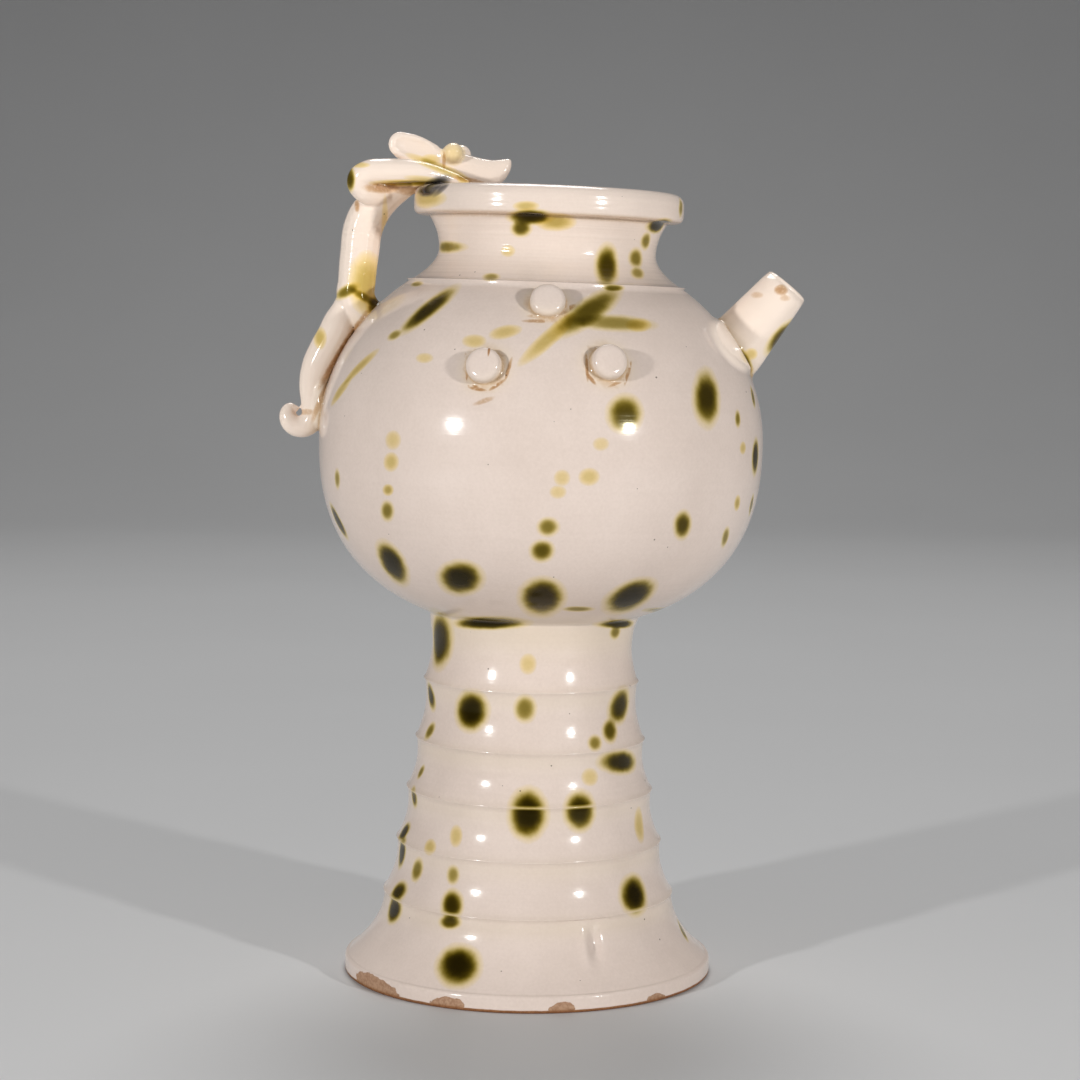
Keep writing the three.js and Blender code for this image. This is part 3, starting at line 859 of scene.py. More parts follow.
def head():
    """The beast's head, drawn out section by section to its upturned bill."""
    deselect()
    outline = HEAD_OUTLINE + [(-across, up) for across, up in HEAD_OUTLINE[-2:0:-1]]
    bpy.ops.mesh.primitive_circle_add(vertices=len(outline), radius=1.0, fill_type="NGON")
    shape = bpy.context.object
    along, height, tall, wide = HEAD_SECTIONS[0]
    for vertex, (across, up) in zip(shape.data.vertices, outline):
        vertex.co = (along, across * wide, height + up * tall)
    bpy.ops.object.mode_set(mode="EDIT")
    bpy.ops.mesh.select_all(action="SELECT")
    for (x, z, tall, wide), (next_x, next_z, next_tall, next_wide) in zip(HEAD_SECTIONS, HEAD_SECTIONS[1:]):
        bpy.ops.mesh.extrude_region_move(TRANSFORM_OT_translate={"value": (next_x - x, 0.0, next_z - z)})
        bpy.ops.transform.resize(value=(1.0, next_wide / wide, next_tall / tall),
                                 center_override=(next_x, 0.0, next_z))
    bpy.ops.mesh.select_all(action="SELECT")
    bpy.ops.mesh.normals_make_consistent(inside=False)
    bpy.ops.object.mode_set(mode="OBJECT")
    return shape


def ear():
    """A leaf of clay, hollowed on its outer side."""
    leaf = coil("ear", EAR_LEAF)
    leaf.scale = (1.0, EAR_THINNESS, 1.0)
    apply_place(leaf)
    apply_modifier(leaf, "REMESH", mode="VOXEL", voxel_size=EAR_GRAIN)
    combine(leaf, ball(EAR_SCOOP_PLACE, EAR_SCOOP_SIZE), "DIFFERENCE")
    leaf.rotation_euler = (0.0, EAR_RISE, EAR_SWING)
    leaf.location = EAR_ROOT
    apply_place(leaf)
    return leaf


def spin_room(sizes, top):
    """The empty space inside the pot up to a height, as a solid to cut with."""
    inside = [point for point in room_profile(sizes) if point[1] < top]
    room = turned("room", [(0.0, inside[0][1])] + inside, ROOM_SIDES)
    set_coordinates(room, lean_over(coordinates(room), sizes.lip_top))
    return room


class EWER_OT_throw_pot(bpy.types.Operator):
    """Throw the foot, stem, body, neck and lip as one hollow pot"""
    bl_idname = "ewer.throw_pot"
    bl_label = "Throw the Pot"

    def execute(self, context):
        sizes = context.scene.ewer_sizes
        profile = hollow_profile(sizes) + foot_profile(sizes) + stem_profile()
        profile += body_profile(sizes, 0.0, LOWER_FLOOR, UPPER_TOP) + neck_profile(sizes)
        profile += lip_profile(sizes) + room_profile(sizes)
        pot = turned(POT, profile, TURN_SIDES)
        upright = coordinates(pot)
        near = np.abs(around_from_front(upright) - FINGER_MARK_AROUND) < FINGER_MARK_ROOM_AROUND
        near &= np.abs(upright[:, 2] - FINGER_MARK_HEIGHT) < FINGER_MARK_ROOM_UP
        refine(pot, near & (np.hypot(upright[:, 0], upright[:, 1]) > RING_RADII[0]))
        worked = work_by_hand(coordinates(pot))
        set_coordinates(pot, lean_over(worked, sizes.lip_top))
        return {"FINISHED"}


class EWER_OT_pull_spout(bpy.types.Operator):
    """Make the short spout"""
    bl_idname = "ewer.pull_spout"
    bl_label = "Pull the Spout"

    def execute(self, context):
        reach = context.scene.ewer_sizes.spout_length
        turns = steps(SPOUT_EDGE_STEPS) * math.pi / 2
        end = SPOUT_END_RADIUS - SPOUT_EDGE_ROUND
        edge = rows(end + SPOUT_EDGE_ROUND * np.cos(turns), reach - SPOUT_EDGE_ROUND * (1.0 - np.sin(turns)))
        share = steps(SPOUT_STEPS)
        heights = -SPOUT_SINK + (reach - SPOUT_EDGE_ROUND + SPOUT_SINK) * share
        along = np.clip(heights / reach, 0.0, 1.0)
        radii = SPOUT_ROOT_RADIUS + (SPOUT_END_RADIUS - SPOUT_ROOT_RADIUS) * along
        profile = [(0.0, -SPOUT_SINK)] + rows(radii, heights) + edge
        profile += [(SPOUT_BORE_RADIUS + SPOUT_BORE_MARGIN, reach), (0.0, reach)]
        spout = turned(SPOUT, profile, SPOUT_SIDES)
        spout.rotation_euler = (0.0, math.pi / 2 - SPOUT_RISE, 0.0)
        spout.location = SPOUT_ROOT
        apply_place(spout)
        return {"FINISHED"}


class EWER_OT_press_bosses(bpy.types.Operator):
    """Press the three bosses onto the front of the shoulder"""
    bl_idname = "ewer.press_bosses"
    bl_label = "Press the Bosses"

    def execute(self, context):
        sizes = context.scene.ewer_sizes
        turns = steps(BOSS_STEPS) * math.pi / 2
        radii, rise = superellipse(sizes.boss_radius, BOSS_STAND, BOSS_FULLNESS, turns)
        profile = [(0.0, -BOSS_SINK), (sizes.boss_radius, -BOSS_SINK)] + rows(radii, rise)
        pattern = turned(BOSSES, profile, BOSS_SIDES)
        bosses = []
        for across, height, looks_up in BOSS_PLACES:
            boss = pattern.copy()
            boss.data = pattern.data.copy()
            context.collection.objects.link(boss)
            radius = outside_radius(sizes, height)
            off_axis = across - float(lean_at(height, sizes.lip_top))
            front = -math.sqrt(radius ** 2 - off_axis ** 2)
            lift = math.radians(looks_up)
            facing = Vector((off_axis, front, 0.0)).normalized() * math.cos(lift)
            facing.z = math.sin(lift)
            boss.rotation_euler = facing.to_track_quat("Z", "Y").to_euler()
            boss.location = (across, front, height)
            apply_place(boss)
            bosses.append(boss)
        bpy.data.objects.remove(pattern, do_unlink=True)
        name_clay(join(*bosses), BOSSES)
        return {"FINISHED"}


class EWER_OT_roll_handle(bpy.types.Operator):
    """Roll the coils of the handle and model the beast that bites the lip"""
    bl_idname = "ewer.roll_handle"
    bl_label = "Roll the Handle"

    def execute(self, context):
        side = join(coil("arm", ARM_COIL), ear())
        apply_modifier(side, "MIRROR", use_axis=(False, True, False), use_mirror_merge=False)
        eyes = [ball(place, [EYE_RADIUS] * 3) for place in (NEAR_EYE, FAR_EYE)]
        pad = ball(TAIL_PAD_PLACE, TAIL_PAD_SIZE)
        handle = join(head(), side, *eyes, coil("back", BACK_COIL), coil("tail", TAIL_COIL), pad)
        apply_modifier(handle, "REMESH", mode="VOXEL", voxel_size=HANDLE_GRAIN)
        apply_modifier(handle, "SMOOTH", factor=SMOOTHING, iterations=HANDLE_SMOOTHINGS)
        name_clay(handle, HANDLE)
        return {"FINISHED"}


def corners_of(mesh):
    """The vertex and the face of every corner of a mesh."""
    corners = np.empty(len(mesh.polygons), dtype=np.int32)
    mesh.polygons.foreach_get("loop_total", corners)
    vertices = np.empty(len(mesh.loops), dtype=np.int32)
    mesh.loops.foreach_get("vertex_index", vertices)
    return vertices, np.repeat(np.arange(len(corners)), corners)


def clay_of_vertices(mesh):
    """The lowest and the highest index of clay that meet at each vertex."""
    faces = np.empty(len(mesh.polygons), dtype=np.int32)
    mesh.polygons.foreach_get("material_index", faces)
    vertices, corner_face = corners_of(mesh)
    clay = faces[corner_face]
    lowest = np.full(len(mesh.vertices), len(CLAYS))
    highest = np.zeros(len(mesh.vertices), dtype=int)
    np.minimum.at(lowest, vertices, clay)
    np.maximum.at(highest, vertices, clay)
    return lowest, highest


def distance_to_joint(places, joint):
    """Distance of every point from the nearest point of a joint."""
    tree = KDTree(len(joint))
    for index, place in enumerate(joint):
        tree.insert(place, index)
    tree.balance()
    return np.array([tree.find(place)[2] for place in places])


def vertex_normals(mesh):
    """The normal at each vertex."""
    normals = np.empty(len(mesh.vertices) * 3)
    mesh.vertex_normals.foreach_get("vector", normals)
    return normals.reshape(-1, 3)


def foot_axis():
    """Where the axis of the foot stands in the fixed solid."""
    solid = coordinates(bpy.data.objects[SOLID])
    standing = solid[solid[:, 2] < FOOT_EDGE_ROUND / 2, 0]
    return (standing.min() + standing.max()) / 2.0


def camera_turn():
    """How the camera is turned."""
    return Matrix.Rotation(math.pi / 2 - CAMERA_PITCH, 3, "X") @ Matrix.Rotation(CAMERA_ROLL, 3, "Z")


def photo_pixels(places):
    """Where points of the ewer show in the photograph, in its pixels."""
    seen = (places - np.array(CAMERA_PLACE)) @ np.array(camera_turn())
    focal = CAMERA_LENS / CAMERA_SENSOR * PHOTO_SIZE
    across = PHOTO_SIZE / 2 - focal * seen[:, 0] / seen[:, 2]
    down = PHOTO_SIZE / 2 + focal * seen[:, 1] / seen[:, 2]
    return across, down


def lie_in(mark, right, below):
    """How far points lie across and along a mark, where 1 is the outer edge of its halo."""
    lean = np.radians(mark.lean)
    right = right * mark.squeeze
    wide = (right * np.cos(lean) + below * np.sin(lean)) / (mark.wide / 2.0 * MARK_HALO)
    tall = (below * np.cos(lean) - right * np.sin(lean)) / (mark.tall / 2.0 * MARK_HALO)
    return wide, tall


def onto_sheet(marks, pixels, sheet, around, seen):
    """Carry marks from the photograph onto the sheet unrolled from the pot, as wide as they are there."""
    carried = []
    for mark in marks:
        apart = np.hypot(pixels[0][seen] - mark.photo_x, pixels[1][seen] - mark.photo_y)
        nearest = seen[np.argmin(apart)]
        squeeze = max(math.cos(around[nearest]), LEAST_SQUEEZE)
        across = sheet[0][nearest] + (mark.photo_x - pixels[0][nearest]) / squeeze
        carried.append(mark._replace(photo_x=across, squeeze=squeeze))
    return carried


def gap_between(mark, other):
    """How far apart two marks lie, edge to edge."""
    return math.dist(mark[:2], other[:2]) - (max(mark[2:4]) + max(other[2:4])) / 2


def in_layers(marks):
    """Share the marks out so that those of one layer lie well apart."""
    layers = []
    for mark in marks:
        for layer in layers:
            if min(gap_between(mark, other) for other in layer) > MARK_GAP:
                layer.append(mark)
                break
        else:
            layers.append([mark])
    return layers


def lay_marks(mesh, channel, groups):
    """Keep, layer by layer, how each corner of a face lies in the mark nearest to the face, and its depth.

    Each group is a flat view of the vertices, how much of it each vertex shows, and the marks in that view.
    """
    corner_vertex, corner_face = corners_of(mesh)
    corners = np.bincount(corner_face)
    shares = [np.bincount(corner_face, share[corner_vertex]) / corners for _, share, _ in groups]
    owner = np.argmax(shares, axis=0)
    layers = []
    for index, (view, share, marks) in enumerate(groups):
        middles = [np.bincount(corner_face, axis[corner_vertex]) / corners for axis in view]
        for number, layer in enumerate(in_layers(marks)):
            if number == len(layers):
                layers.append(np.full((len(corner_face), len(NO_MARK)), NO_MARK))
            marked = Mark(*np.array(layer, dtype=float).T)
            across = (middles[0][:, None] - marked.photo_x) * marked.squeeze
            apart = np.hypot(across, middles[1][:, None] - marked.photo_y)
            nearest = np.argmin(apart - np.maximum(marked.wide, marked.tall) / 2.0, axis=1)[corner_face]
            mark = Mark(*(field[nearest] for field in marked))
            right = view[0][corner_vertex] - mark.photo_x
            below = view[1][corner_vertex] - mark.photo_y
            wide, tall = lie_in(mark, right, below)
            own = (owner == index)[corner_face]
            layers[number][own] = np.stack([wide, tall, mark.depth * share[corner_vertex]], axis=1)[own]
    names = [f"{channel}_{number}" for number in range(len(layers))]
    for name, values in zip(names, layers):
        layer = mesh.attributes.new(name, "FLOAT_VECTOR", "CORNER")
        layer.data.foreach_set("vector", values.astype(np.float32).ravel())
    return names


def splashes_behind(sheet, hidden):
    """Fewer splashes, at random, on the side that the photograph doesn't show."""
    dice = random.Random(BACK_SEED)
    spots = np.flatnonzero(hidden).tolist()
    marks = []
    for _ in range(BACK_SPLASHES):
        spot = dice.choice(spots)
        wide = dice.uniform(*BACK_WIDTHS)
        tall = wide * dice.uniform(*BACK_STRETCH)
        marks.append(Mark(sheet[0][spot], sheet[1][spot], wide, tall, dice.uniform(*BACK_DEPTHS)))
    return marks


def write_attribute(mesh, name, values):
    """Keep a value at each vertex for the glaze to read."""
    layer = mesh.attributes.new(name, "FLOAT", "POINT")
    layer.data.foreach_set("value", np.ascontiguousarray(values, dtype=np.float32))


def lay_glaze(ewer, sizes, axis):
    """Work out where the glaze runs, pools and is missing, and name the layers of each kind of mark."""
    mesh = ewer.data
    places = coordinates(ewer)
    sight = np.array(CAMERA_PLACE) - places
    sight /= np.linalg.norm(sight, axis=1)[:, None]
    facing = np.sum(vertex_normals(mesh) * sight, axis=1)
    shown = smoothstep(facing, *TURNED_AWAY)
    lowest, highest = clay_of_vertices(mesh)
    upright = stand_up(places - np.array((axis, 0.0, 0.0)), sizes.lip_top)
    height = upright[:, 2]
    radius = np.hypot(upright[:, 0], upright[:, 1])
    skin = radius > outside_radius(sizes, height) - SKIN_DEPTH
    pixels = photo_pixels(places)
    pot_skin = (highest == CLAYS.index(POT)) & skin
    on_pot = pot_skin * shown
    on_handle = (highest == CLAYS.index(HANDLE)) * shown
    on_spout = (highest == CLAYS.index(SPOUT)) * shown
    on_bosses = (highest == CLAYS.index(BOSSES)) * shown
    on_parts = np.maximum.reduce([on_handle, on_spout, on_bosses])
    around = np.arctan2(upright[:, 0], -upright[:, 1])
    behind = np.arctan2(-upright[:, 0], upright[:, 1])
    sheet = (PHOTO_SIZE / 2 + around * radius * SHEET_PIXELS, pixels[1])
    back_sheet = (behind * radius * SHEET_PIXELS, pixels[1])
    seen = np.flatnonzero(pot_skin & (facing > 0.0))
    hidden = pot_skin & (np.abs(behind) < BACK_MARKS_AROUND) & (height > BACK_LOWEST)
    pot_splashes = NECK_SPLASHES + SHOULDER_SPLASHES + BELLY_SPLASHES + STEM_SPLASHES
    splashes, bare_marks, grime_and_shade_marks = (
        onto_sheet(marks, pixels, sheet, around, seen) for marks in (pot_splashes, BARE_MARKS, GRIME_AND_SHADE_MARKS))
    in_front = pot_skin * 1.0 * (np.abs(around) < SHOWN_AROUND)
    splash_groups = [
        (sheet, in_front, splashes),
        (back_sheet, pot_skin * 1.0 - in_front, splashes_behind(back_sheet, hidden)),
        (pixels, on_handle, HANDLE_SPLASHES),
        (pixels, on_spout, SPOUT_SPLASHES),
    ]
    layers = {
        "splash": lay_marks(mesh, "splash", [
            (view, share, [mark for mark in marks if mark.depth >= FAINT_DEPTH])
            for view, share, marks in splash_groups]),
        "faint": lay_marks(mesh, "faint", [
            (view, share, [mark for mark in marks if mark.depth < FAINT_DEPTH])
            for view, share, marks in splash_groups]),
        "soot": lay_marks(mesh, "soot", [(pixels, np.maximum(on_pot, on_handle), SOOT_MARKS)]),
        "bare": lay_marks(mesh, "bare", [(sheet, in_front, bare_marks)]),
        # Dirt and rust, with painted shade round the bosses, under the arm and in the handle's recesses
        "grime_and_shade": lay_marks(mesh, "grime_and_shade", [
            (sheet, in_front, grime_and_shade_marks), (pixels, on_parts, PART_GRIME_AND_SHADE_MARKS)]),
    }
    hollow = (height < STEM_HOLLOW_TOP + FOOT_EDGE_ROUND) & ~skin & (highest == CLAYS.index(POT))
    bare_foot = smoothstep(-height, -BARE_FOOT_TOP, -BARE_FOOT_FULL)
    write_attribute(mesh, "unglazed", np.maximum(hollow, bare_foot))
    joint = distance_to_joint(places, places[lowest != highest])
    # A dark line along the joints, and painted shade under the lip
    under_lip = bump(height, LIP_BOTTOM, DIRT_AND_SHADE_REACH) * pot_skin
    write_attribute(mesh, "dirt_and_shade", JOINT_DIRT * bump(joint, 0.0, DIRT_AND_SHADE_REACH) + LIP_SHADE * under_lip)
    stem_pool = STEM_TOP_POOL * bump(height, STEM_TOP_HEIGHT - STEM_TOP_POOL_DROP, STEM_TOP_POOL_REACH)
    ring_pools = sum(bump(height, ring - RING_POOL_DROP, RING_POOL_REACH) for ring in RING_HEIGHTS)
    stem_pool += RING_POOL * ring_pools
    joint_pool = JOINT_POOL * bump(joint, 0.0, JOINT_POOL_REACH)
    write_attribute(mesh, "pool", np.clip(joint_pool + stem_pool * pot_skin, 0.0, 1.0))
    write_attribute(mesh, "crest", stem_crests(height) * pot_skin)
    write_attribute(mesh, "turn_height", height)
    # Painted light: whiter on the handle, spout and smear away from the joints, and on the neck
    added = (highest == CLAYS.index(HANDLE)) | (highest == CLAYS.index(SPOUT))
    painted_light = np.maximum(smear_cover(ewer), added * smoothstep(joint, 0.0, JOINT_REACH))
    neck_share = smoothstep(height, UPPER_TOP, UPPER_TOP + MOUTH_FLARE_HEIGHT)
    write_attribute(mesh, "painted_light", np.maximum(painted_light, NECK_PAINTED_LIGHT * neck_share * pot_skin))
    return layers


class Tree:
    """A material's nodes, with short ways to add and link them."""

    def __init__(self, material):
        material.use_nodes = True
        self.nodes = material.node_tree.nodes
        self.links = material.node_tree.links

    def add(self, kind, inputs=None, **settings):
        """Add a node, set it up and feed its inputs from values or sockets."""
        node = self.nodes.new(kind)
        for name, value in settings.items():
            setattr(node, name, value)
        for key, value in (inputs or {}).items():
            if isinstance(value, bpy.types.NodeSocket):
                self.links.new(value, node.inputs[key])
            else:
                node.inputs[key].default_value = value
        return node

    def value(self, name):
        """A value kept at the vertices."""
        return self.add("ShaderNodeAttribute", attribute_name=name).outputs["Fac"]

    def maths(self, operation, first, second=0.0):
        """One step of arithmetic."""
        return self.add("ShaderNodeMath", {0: first, 1: second}, operation=operation).outputs[0]

    def between(self, value, low, high):
        """0 below low, 1 above high, smooth between."""
        inputs = {"Value": value, "From Min": low, "From Max": high}
        return self.add("ShaderNodeMapRange", inputs, interpolation_type="SMOOTHSTEP").outputs[0]

    def blend(self, share, first, second):
        """The first colour, turning into the second."""
        return self.add("ShaderNodeMix", {0: share, 6: first, 7: second}, data_type="RGBA").outputs[2]

    def marks(self, names, wander):
        """How thick the marks of these layers lie together, with a wandering edge."""
        clear = None
        for name in names:
            place = self.add("ShaderNodeAttribute", attribute_name=name).outputs["Vector"]
            depth = self.add("ShaderNodeSeparateXYZ", {0: place}).outputs["Z"]
            flat = self.add("ShaderNodeVectorMath", {0: place, 1: (1.0, 1.0, 0.0)}, operation="MULTIPLY")
            reach = self.add("ShaderNodeVectorMath", {0: flat.outputs[0], 1: flat.outputs[0]},
                             operation="DOT_PRODUCT").outputs["Value"]
            cover = self.between(self.maths("ADD", reach, wander), 1.0, 0.0)
            bare = self.maths("SUBTRACT", 1.0, self.maths("MULTIPLY", cover, depth))
            clear = bare if clear is None else self.maths("MULTIPLY", clear, bare)
        return self.maths("SUBTRACT", 1.0, clear)

    def stained(self, base, stain, layers):
        """A colour seen through so many thin layers of a stain."""
        parts = self.add("ShaderNodeSeparateColor", {"Color": base}).outputs
        seen = [self.maths("MULTIPLY", part, self.maths("POWER", share, layers))
                for part, share in zip(parts, stain)]
        return self.add("ShaderNodeCombineColor", dict(enumerate(seen))).outputs["Color"]

    def swing(self, noise, reach):
        """Noise as a swing to both sides of nothing."""
        return self.maths("MULTIPLY", self.maths("SUBTRACT", noise, NOISE_MIDDLE), reach)

    def weighed(self, values, shares):
        """The sum of values, each in its share."""
        total = None
        for value, share in zip(values, shares):
            part = self.maths("MULTIPLY", value, share)
            total = part if total is None else self.maths("ADD", total, part)
        return total

    def noise(self, place, scale, detail):
        """Cloudy noise of a size."""
        inputs = {"Vector": place, "Scale": scale, "Detail": detail}
        return self.add("ShaderNodeTexNoise", inputs).outputs["Fac"]


def opaque(tint):
    """A colour with full cover."""
    return (*tint, 1.0)


def splashed_glaze(glaze, layers):
    """The cream-white glaze with its splashes, pools, specks, bare clay and stains, with painted shade and
    painted light.
    """
    material = bpy.data.materials.new("splashed_glaze")
    tree = Tree(material)
    place = tree.add("ShaderNodeTexCoord").outputs["Object"]
    cloud = tree.noise(place, *CLOUD_NOISE)
    ripple = tree.noise(place, *RIPPLE_NOISE)
    grain = tree.noise(place, *GRAIN_NOISE)
    wander = tree.swing(ripple, EDGE_WANDER)
    ragged = tree.swing(tree.noise(place, *RAGGED_NOISE), EDGE_RAGGEDNESS)
    turning = {"W": tree.value("turn_height"), "Scale": LINES_SCALE, "Detail": LINES_DETAIL}
    lines = tree.add("ShaderNodeTexNoise", turning, noise_dimensions="1D").outputs["Fac"]
    mottle = tree.weighed((tree.noise(place, *MOTTLE_NOISE), lines), MOTTLE_SHARES)
    uneven = tree.weighed((cloud, mottle, grain), UNEVEN_SHARES)
    white = tree.blend(tree.between(uneven, *THIN_RANGE), opaque(glaze.white), opaque(glaze.thin))
    pool = tree.maths("MULTIPLY", tree.value("pool"), tree.maths("ADD", cloud, LEAST_POOL))
    # Painted light: the glaze is made whiter where light falls brighter
    white = tree.blend(tree.value("painted_light"), white, opaque(glaze.painted_light))
    base = tree.blend(pool, white, opaque(glaze.warm))

    thinned = tree.maths("SUBTRACT", 1.0, tree.maths("MULTIPLY", tree.value("crest"), CREST_THINNING))
    for kind, fall, edge in (("faint", FAINT_FALL, glaze.ochre), ("splash", SPLASH_FALL, glaze.yellow)):
        thick = tree.maths("MULTIPLY", tree.marks(layers[kind], wander), thinned)
        layers_thick = tree.maths("MULTIPLY", tree.maths("POWER", thick, fall), SPLASH_THICKNESS)
        base = tree.stained(base, glaze.green, layers_thick)
        base = tree.stained(base, edge, tree.maths("POWER", thick, YELLOW_FALL))
    sheen = tree.blend(thick, opaque(PLAIN_SHEEN), opaque(SPLASH_SHEEN))

    cells = tree.add("ShaderNodeTexVoronoi", {"Vector": place, "Scale": SPECK_SCALE})
    chosen = tree.add("ShaderNodeSeparateColor", {"Color": cells.outputs["Color"]}).outputs[0]
    reach = tree.maths("MULTIPLY", tree.between(chosen, *SPECK_RANGE), SPECK_REACH)
    speck = tree.maths("LESS_THAN", cells.outputs["Distance"], reach)
    base = tree.blend(tree.maths("MULTIPLY", speck, SPECK_COVER), base, opaque(glaze.speck))

    base = tree.blend(tree.marks(layers["soot"], wander), base, opaque(glaze.soot))
    # Dirt and rust, with painted shade under the lip, under the arm, in the recesses and round the bosses
    dirt_and_shade = tree.maths("MAXIMUM", tree.value("dirt_and_shade"), tree.marks(layers["grime_and_shade"], ragged))
    base = tree.stained(base, glaze.grime_and_shade, tree.maths("MULTIPLY", dirt_and_shade, tree.between(grain, *GRIME_AND_SHADE_RANGE)))
    worn = tree.between(tree.marks(layers["bare"], ragged), *CHIP_EDGE)
    open_clay = tree.maths("ADD", tree.value("unglazed"), tree.maths("MULTIPLY", ripple, CLAY_RIPPLE))
    worn = tree.maths("MAXIMUM", worn, tree.between(open_clay, *CLAY_EDGE))
    clay = tree.blend(tree.between(grain, *CLAY_RANGE), opaque(glaze.clay), opaque(glaze.clay_light))
    # Painted shade: the bare clay is darkened where it stands in shade
    clay = tree.stained(clay, glaze.grime_and_shade, tree.maths("MULTIPLY", tree.value("unglazed"), CLAY_SHADE))
    base = tree.blend(worn, base, clay)

    rough = tree.maths("ADD", tree.maths("MULTIPLY", worn, CLAY_ROUGHNESS), glaze.gloss)
    rough = tree.maths("ADD", rough, tree.swing(ripple, GLOSS_RIPPLE))
    neck = (UPPER_TOP - NECK_LINES_BLEND, UPPER_TOP + NECK_LINES_BLEND)
    on_neck = tree.between(tree.value("turn_height"), *neck)
    scored = tree.maths("ADD", tree.maths("MULTIPLY", on_neck, NECK_LINES_RELIEF), LINES_RELIEF)
    relief = tree.weighed((lines, ripple), (scored, RIPPLE_RELIEF))
    clay_grain = tree.maths("MULTIPLY", tree.maths("MULTIPLY", grain, worn), CLAY_RELIEF)
    relief = tree.maths("ADD", relief, clay_grain)
    relief = tree.maths("SUBTRACT", relief, tree.maths("MULTIPLY", worn, CHIP_DEPTH))
    raised = {"Height": relief, "Strength": RELIEF_STRENGTH, "Distance": RELIEF_DEPTH}
    normal = tree.add("ShaderNodeBump", raised).outputs["Normal"]
    shader = tree.nodes["Principled BSDF"]
    surface = {"Base Color": base, "Roughness": rough, "Normal": normal, "Specular Tint": sheen}
    for name, value in surface.items():
        tree.links.new(value, shader.inputs[name])
    shader.inputs["Specular IOR Level"].default_value = MIRROR_LEVEL
    return material


def reach_of_smear(pot):
    """How far the pot's own outer vertices lie from the smear by the spout, where 1 is its edge."""
    _, highest = clay_of_vertices(pot.data)
    places = coordinates(pot)
    across, down = photo_pixels(places)
    reach = np.hypot(*lie_in(SPOUT_SMEAR, across - SPOUT_SMEAR.photo_x, down - SPOUT_SMEAR.photo_y))
    facing = vertex_normals(pot.data)[:, 1] < 0.0
    outside = np.hypot(places[:, 0], places[:, 1]) > LIP_ROOT_RADIUS
    return np.where((highest == CLAYS.index(POT)) & facing & outside, reach, np.inf)


def smear_cover(pot):
    """How thick the smear by the spout lies at each vertex, from 0 to 1."""
    return smoothstep(-reach_of_smear(pot), -1.0, -SMEAR_FULL)


class EWER_OT_lute(bpy.types.Operator):
    """Join the spout, bosses and handle to the pot and smooth the joints"""
    bl_idname = "ewer.lute"
    bl_label = "Lute the Parts"

    def execute(self, context):
        sizes = context.scene.ewer_sizes
        pot = bpy.data.objects[POT]
        for name in CLAYS[1:]:
            part = bpy.data.objects[name]
            combine(part, spin_room(sizes, LIP_BOTTOM), "DIFFERENCE")
            name_clay(part, name)
            combine(pot, part, "UNION")
        lowest, highest = clay_of_vertices(pot.data)
        places = coordinates(pot)
        reach = distance_to_joint(places, places[lowest != highest])
        share = smoothstep(-reach, -JOINT_REACH, -JOINT_FULL)
        boss_reach = distance_to_joint(places, places[(lowest != highest) & (highest == CLAYS.index(BOSSES))])
        share *= smoothstep(boss_reach, JOINT_REACH, BOSS_CLEAR)
        joints = pot.vertex_groups.new(name="joints")
        for index in np.flatnonzero(share):
            joints.add([int(index)], float(share[index]), "REPLACE")
        apply_modifier(pot, "SMOOTH", factor=SMOOTHING, iterations=JOINT_SMOOTHINGS, vertex_group=joints.name)
        bore_top = sizes.spout_length + SPOUT_EDGE_ROUND
        bore = turned(SPOUT, [(0.0, -SPOUT_BORE_SINK), (SPOUT_BORE_RADIUS, -SPOUT_BORE_SINK),
                              (SPOUT_BORE_RADIUS, bore_top), (0.0, bore_top)], SPOUT_SIDES)
        bore.rotation_euler = (0.0, math.pi / 2 - SPOUT_RISE, 0.0)
        bore.location = SPOUT_ROOT
        apply_place(bore)
        combine(pot, bore, "DIFFERENCE")
        pot.vertex_groups.clear()
        pot.location.x = foot_axis()
        apply_place(pot)
        refine(pot, reach_of_smear(pot) < SMEAR_REFINED)
        smear = SPOUT_SMEAR_RISE * smear_cover(pot)[:, None] * vertex_normals(pot.data)
        set_coordinates(pot, coordinates(pot) + smear)
        pot.name = EWER
        return {"FINISHED"}


class EWER_OT_glaze(bpy.types.Operator):
    """Splash and glaze the ewer, and set it in the frame"""
    bl_idname = "ewer.glaze"
    bl_label = "Glaze the Ewer"

    def execute(self, context):
        ewer = bpy.data.objects[EWER]
        layers = lay_glaze(ewer, context.scene.ewer_sizes, foot_axis())
        ewer.data.materials.clear()
        ewer.data.materials.append(splashed_glaze(context.scene.ewer_glaze, layers))
        ewer.data.polygons.foreach_set("material_index", np.zeros(len(ewer.data.polygons), dtype=np.int32))
        pick(ewer)
        bpy.ops.object.shade_smooth()
        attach(ewer, "root")
        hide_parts(SOLID)
        return {"FINISHED"}


def soft_box(name, around, rise, distance, size, power):
    """A soft light that looks at the ewer from a side, in degrees around and up."""
    deselect()
    turn = math.radians(around)
    lift = math.radians(rise)
    away = Vector((math.sin(turn) * math.cos(lift), -math.cos(turn) * math.cos(lift), math.sin(lift)))
    target = Vector((0.0, 0.0, BODY_LEVEL))
    bpy.ops.object.light_add(type="AREA", location=target + away * distance)
    light = bpy.context.object
    light.name = name
    light.rotation_euler = away.to_track_quat("Z", "Y").to_euler()
    light.data.shape = "ELLIPSE"
    light.data.size, light.data.size_y = size
    light.data.energy = power
    light.visible_camera = False


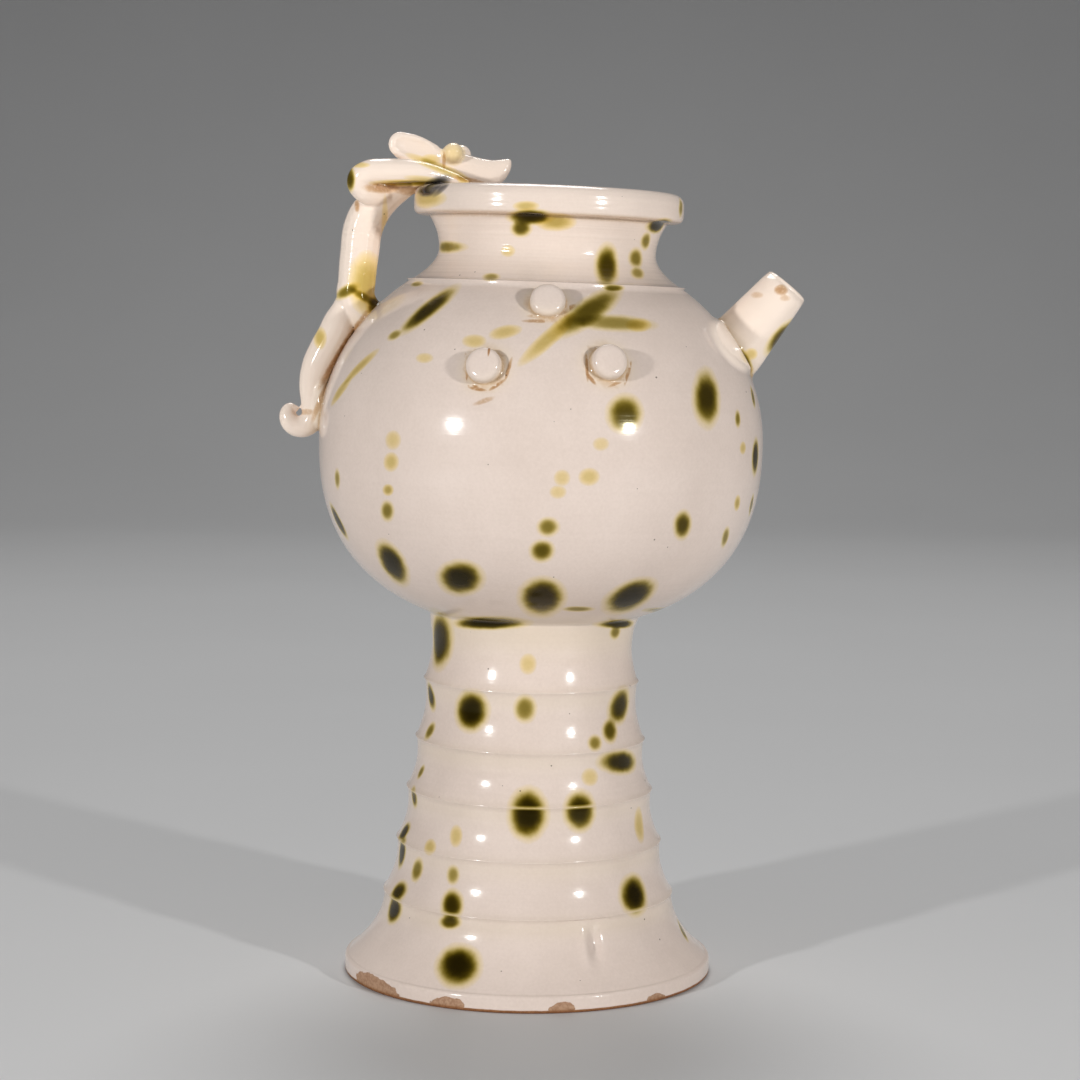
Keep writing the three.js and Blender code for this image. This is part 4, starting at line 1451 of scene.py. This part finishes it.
def floor_material(tint):
    """A plain pale floor with a fine grain."""
    material = bpy.data.materials.new("pale_floor")
    tree = Tree(material)
    place = tree.add("ShaderNodeTexCoord").outputs["Object"]
    cloud = tree.noise(place, *FLOOR_NOISE)
    darker = opaque([FLOOR_SHADE * part for part in tint])
    shader = tree.nodes["Principled BSDF"]
    tree.links.new(tree.blend(cloud, darker, opaque(tint)), shader.inputs["Base Color"])
    shader.inputs["Roughness"].default_value = FLOOR_ROUGHNESS
    return material


class EWER_OT_set_stage(bpy.types.Operator):
    """Lay the floor, hang the lights and place the camera"""
    bl_idname = "ewer.set_stage"
    bl_label = "Set the Stage"

    def execute(self, context):
        scene = context.scene
        stage = scene.ewer_stage
        deselect()
        bpy.ops.mesh.primitive_plane_add(size=FLOOR_SIZE, location=(0.0, BACKDROP_AWAY - FLOOR_SIZE / 2, 0.0))
        floor = context.object
        floor.name = "floor"
        apply_place(floor)
        choose(floor, coordinates(floor)[:, 1] > 0.0)
        bpy.ops.mesh.extrude_region_move(TRANSFORM_OT_translate={"value": (0.0, 0.0, BACKDROP_HEIGHT)})
        bpy.ops.object.mode_set(mode="OBJECT")
        places = coordinates(floor)
        choose(floor, (places[:, 1] > 0.0) & (places[:, 2] < BACKDROP_HEIGHT / 2))
        bpy.ops.mesh.bevel(offset=BACKDROP_ROUND, segments=BACKDROP_SEGMENTS)
        bpy.ops.object.mode_set(mode="OBJECT")
        bpy.ops.object.shade_smooth()
        floor.data.materials.append(floor_material(stage.floor))
        world = bpy.data.worlds.new("studio")
        world.use_nodes = True
        sky = world.node_tree.nodes["Background"]
        sky.inputs["Color"].default_value = opaque(stage.backdrop)
        sky.inputs["Strength"].default_value = stage.world_strength
        scene.world = world
        scene.view_settings.view_transform = "Standard"
        soft_box("key_left", -KEY_AROUND, KEY_RISE, KEY_DISTANCE, KEY_SIZE, stage.key_power)
        soft_box("key_right", KEY_AROUND, KEY_RISE, KEY_DISTANCE, KEY_SIZE, stage.key_power)
        soft_box("back", BACK_LIGHT_AROUND, BACK_LIGHT_RISE, BACK_LIGHT_DISTANCE, BACK_LIGHT_SIZE,
                 stage.back_power)
        bpy.ops.object.camera_add(location=CAMERA_PLACE, rotation=camera_turn().to_euler())
        camera = context.object
        camera.data.sensor_width = CAMERA_SENSOR
        camera.data.lens = CAMERA_LENS
        camera.data.clip_start = CAMERA_CLIP
        scene.camera = camera
        return {"FINISHED"}


class EWER_PT_steps(bpy.types.Panel):
    """The steps of the work, in order"""
    bl_idname = "EWER_PT_steps"
    bl_label = "Splashed Ewer"
    bl_space_type = "VIEW_3D"
    bl_region_type = "UI"
    bl_category = "Ewer"

    def draw(self, context):
        for group in (context.scene.ewer_sizes, context.scene.ewer_glaze, context.scene.ewer_stage):
            for name in group.__annotations__:
                self.layout.prop(group, name)
        for step in STEPS:
            self.layout.operator(step.bl_idname)


GROUPS = {"ewer_sizes": EwerSizes, "ewer_glaze": EwerGlaze, "ewer_stage": EwerStage}
STEPS = [
    EWER_OT_throw_pot, EWER_OT_pull_spout, EWER_OT_press_bosses, EWER_OT_roll_handle, EWER_OT_lute,
    EWER_OT_glaze, EWER_OT_set_stage,
]


def register():
    """Add the classes and the settings on the scene."""
    for each in [*GROUPS.values(), *STEPS, EWER_PT_steps]:
        bpy.utils.register_class(each)
    for name, group in GROUPS.items():
        setattr(bpy.types.Scene, name, bpy.props.PointerProperty(type=group))


def unregister():
    """Take the settings and the classes away again."""
    for name in GROUPS:
        delattr(bpy.types.Scene, name)
    for each in [EWER_PT_steps, *STEPS[::-1], *GROUPS.values()]:
        bpy.utils.unregister_class(each)


def main():
    """Do the work step by step."""
    register()
    bpy.ops.ewer.throw_pot()
    bpy.ops.ewer.pull_spout()
    bpy.ops.ewer.press_bosses()
    bpy.ops.ewer.roll_handle()
    bpy.ops.ewer.lute()
    bpy.ops.ewer.glaze()
    bpy.ops.ewer.set_stage()


if __name__ == "__main__":
    main()
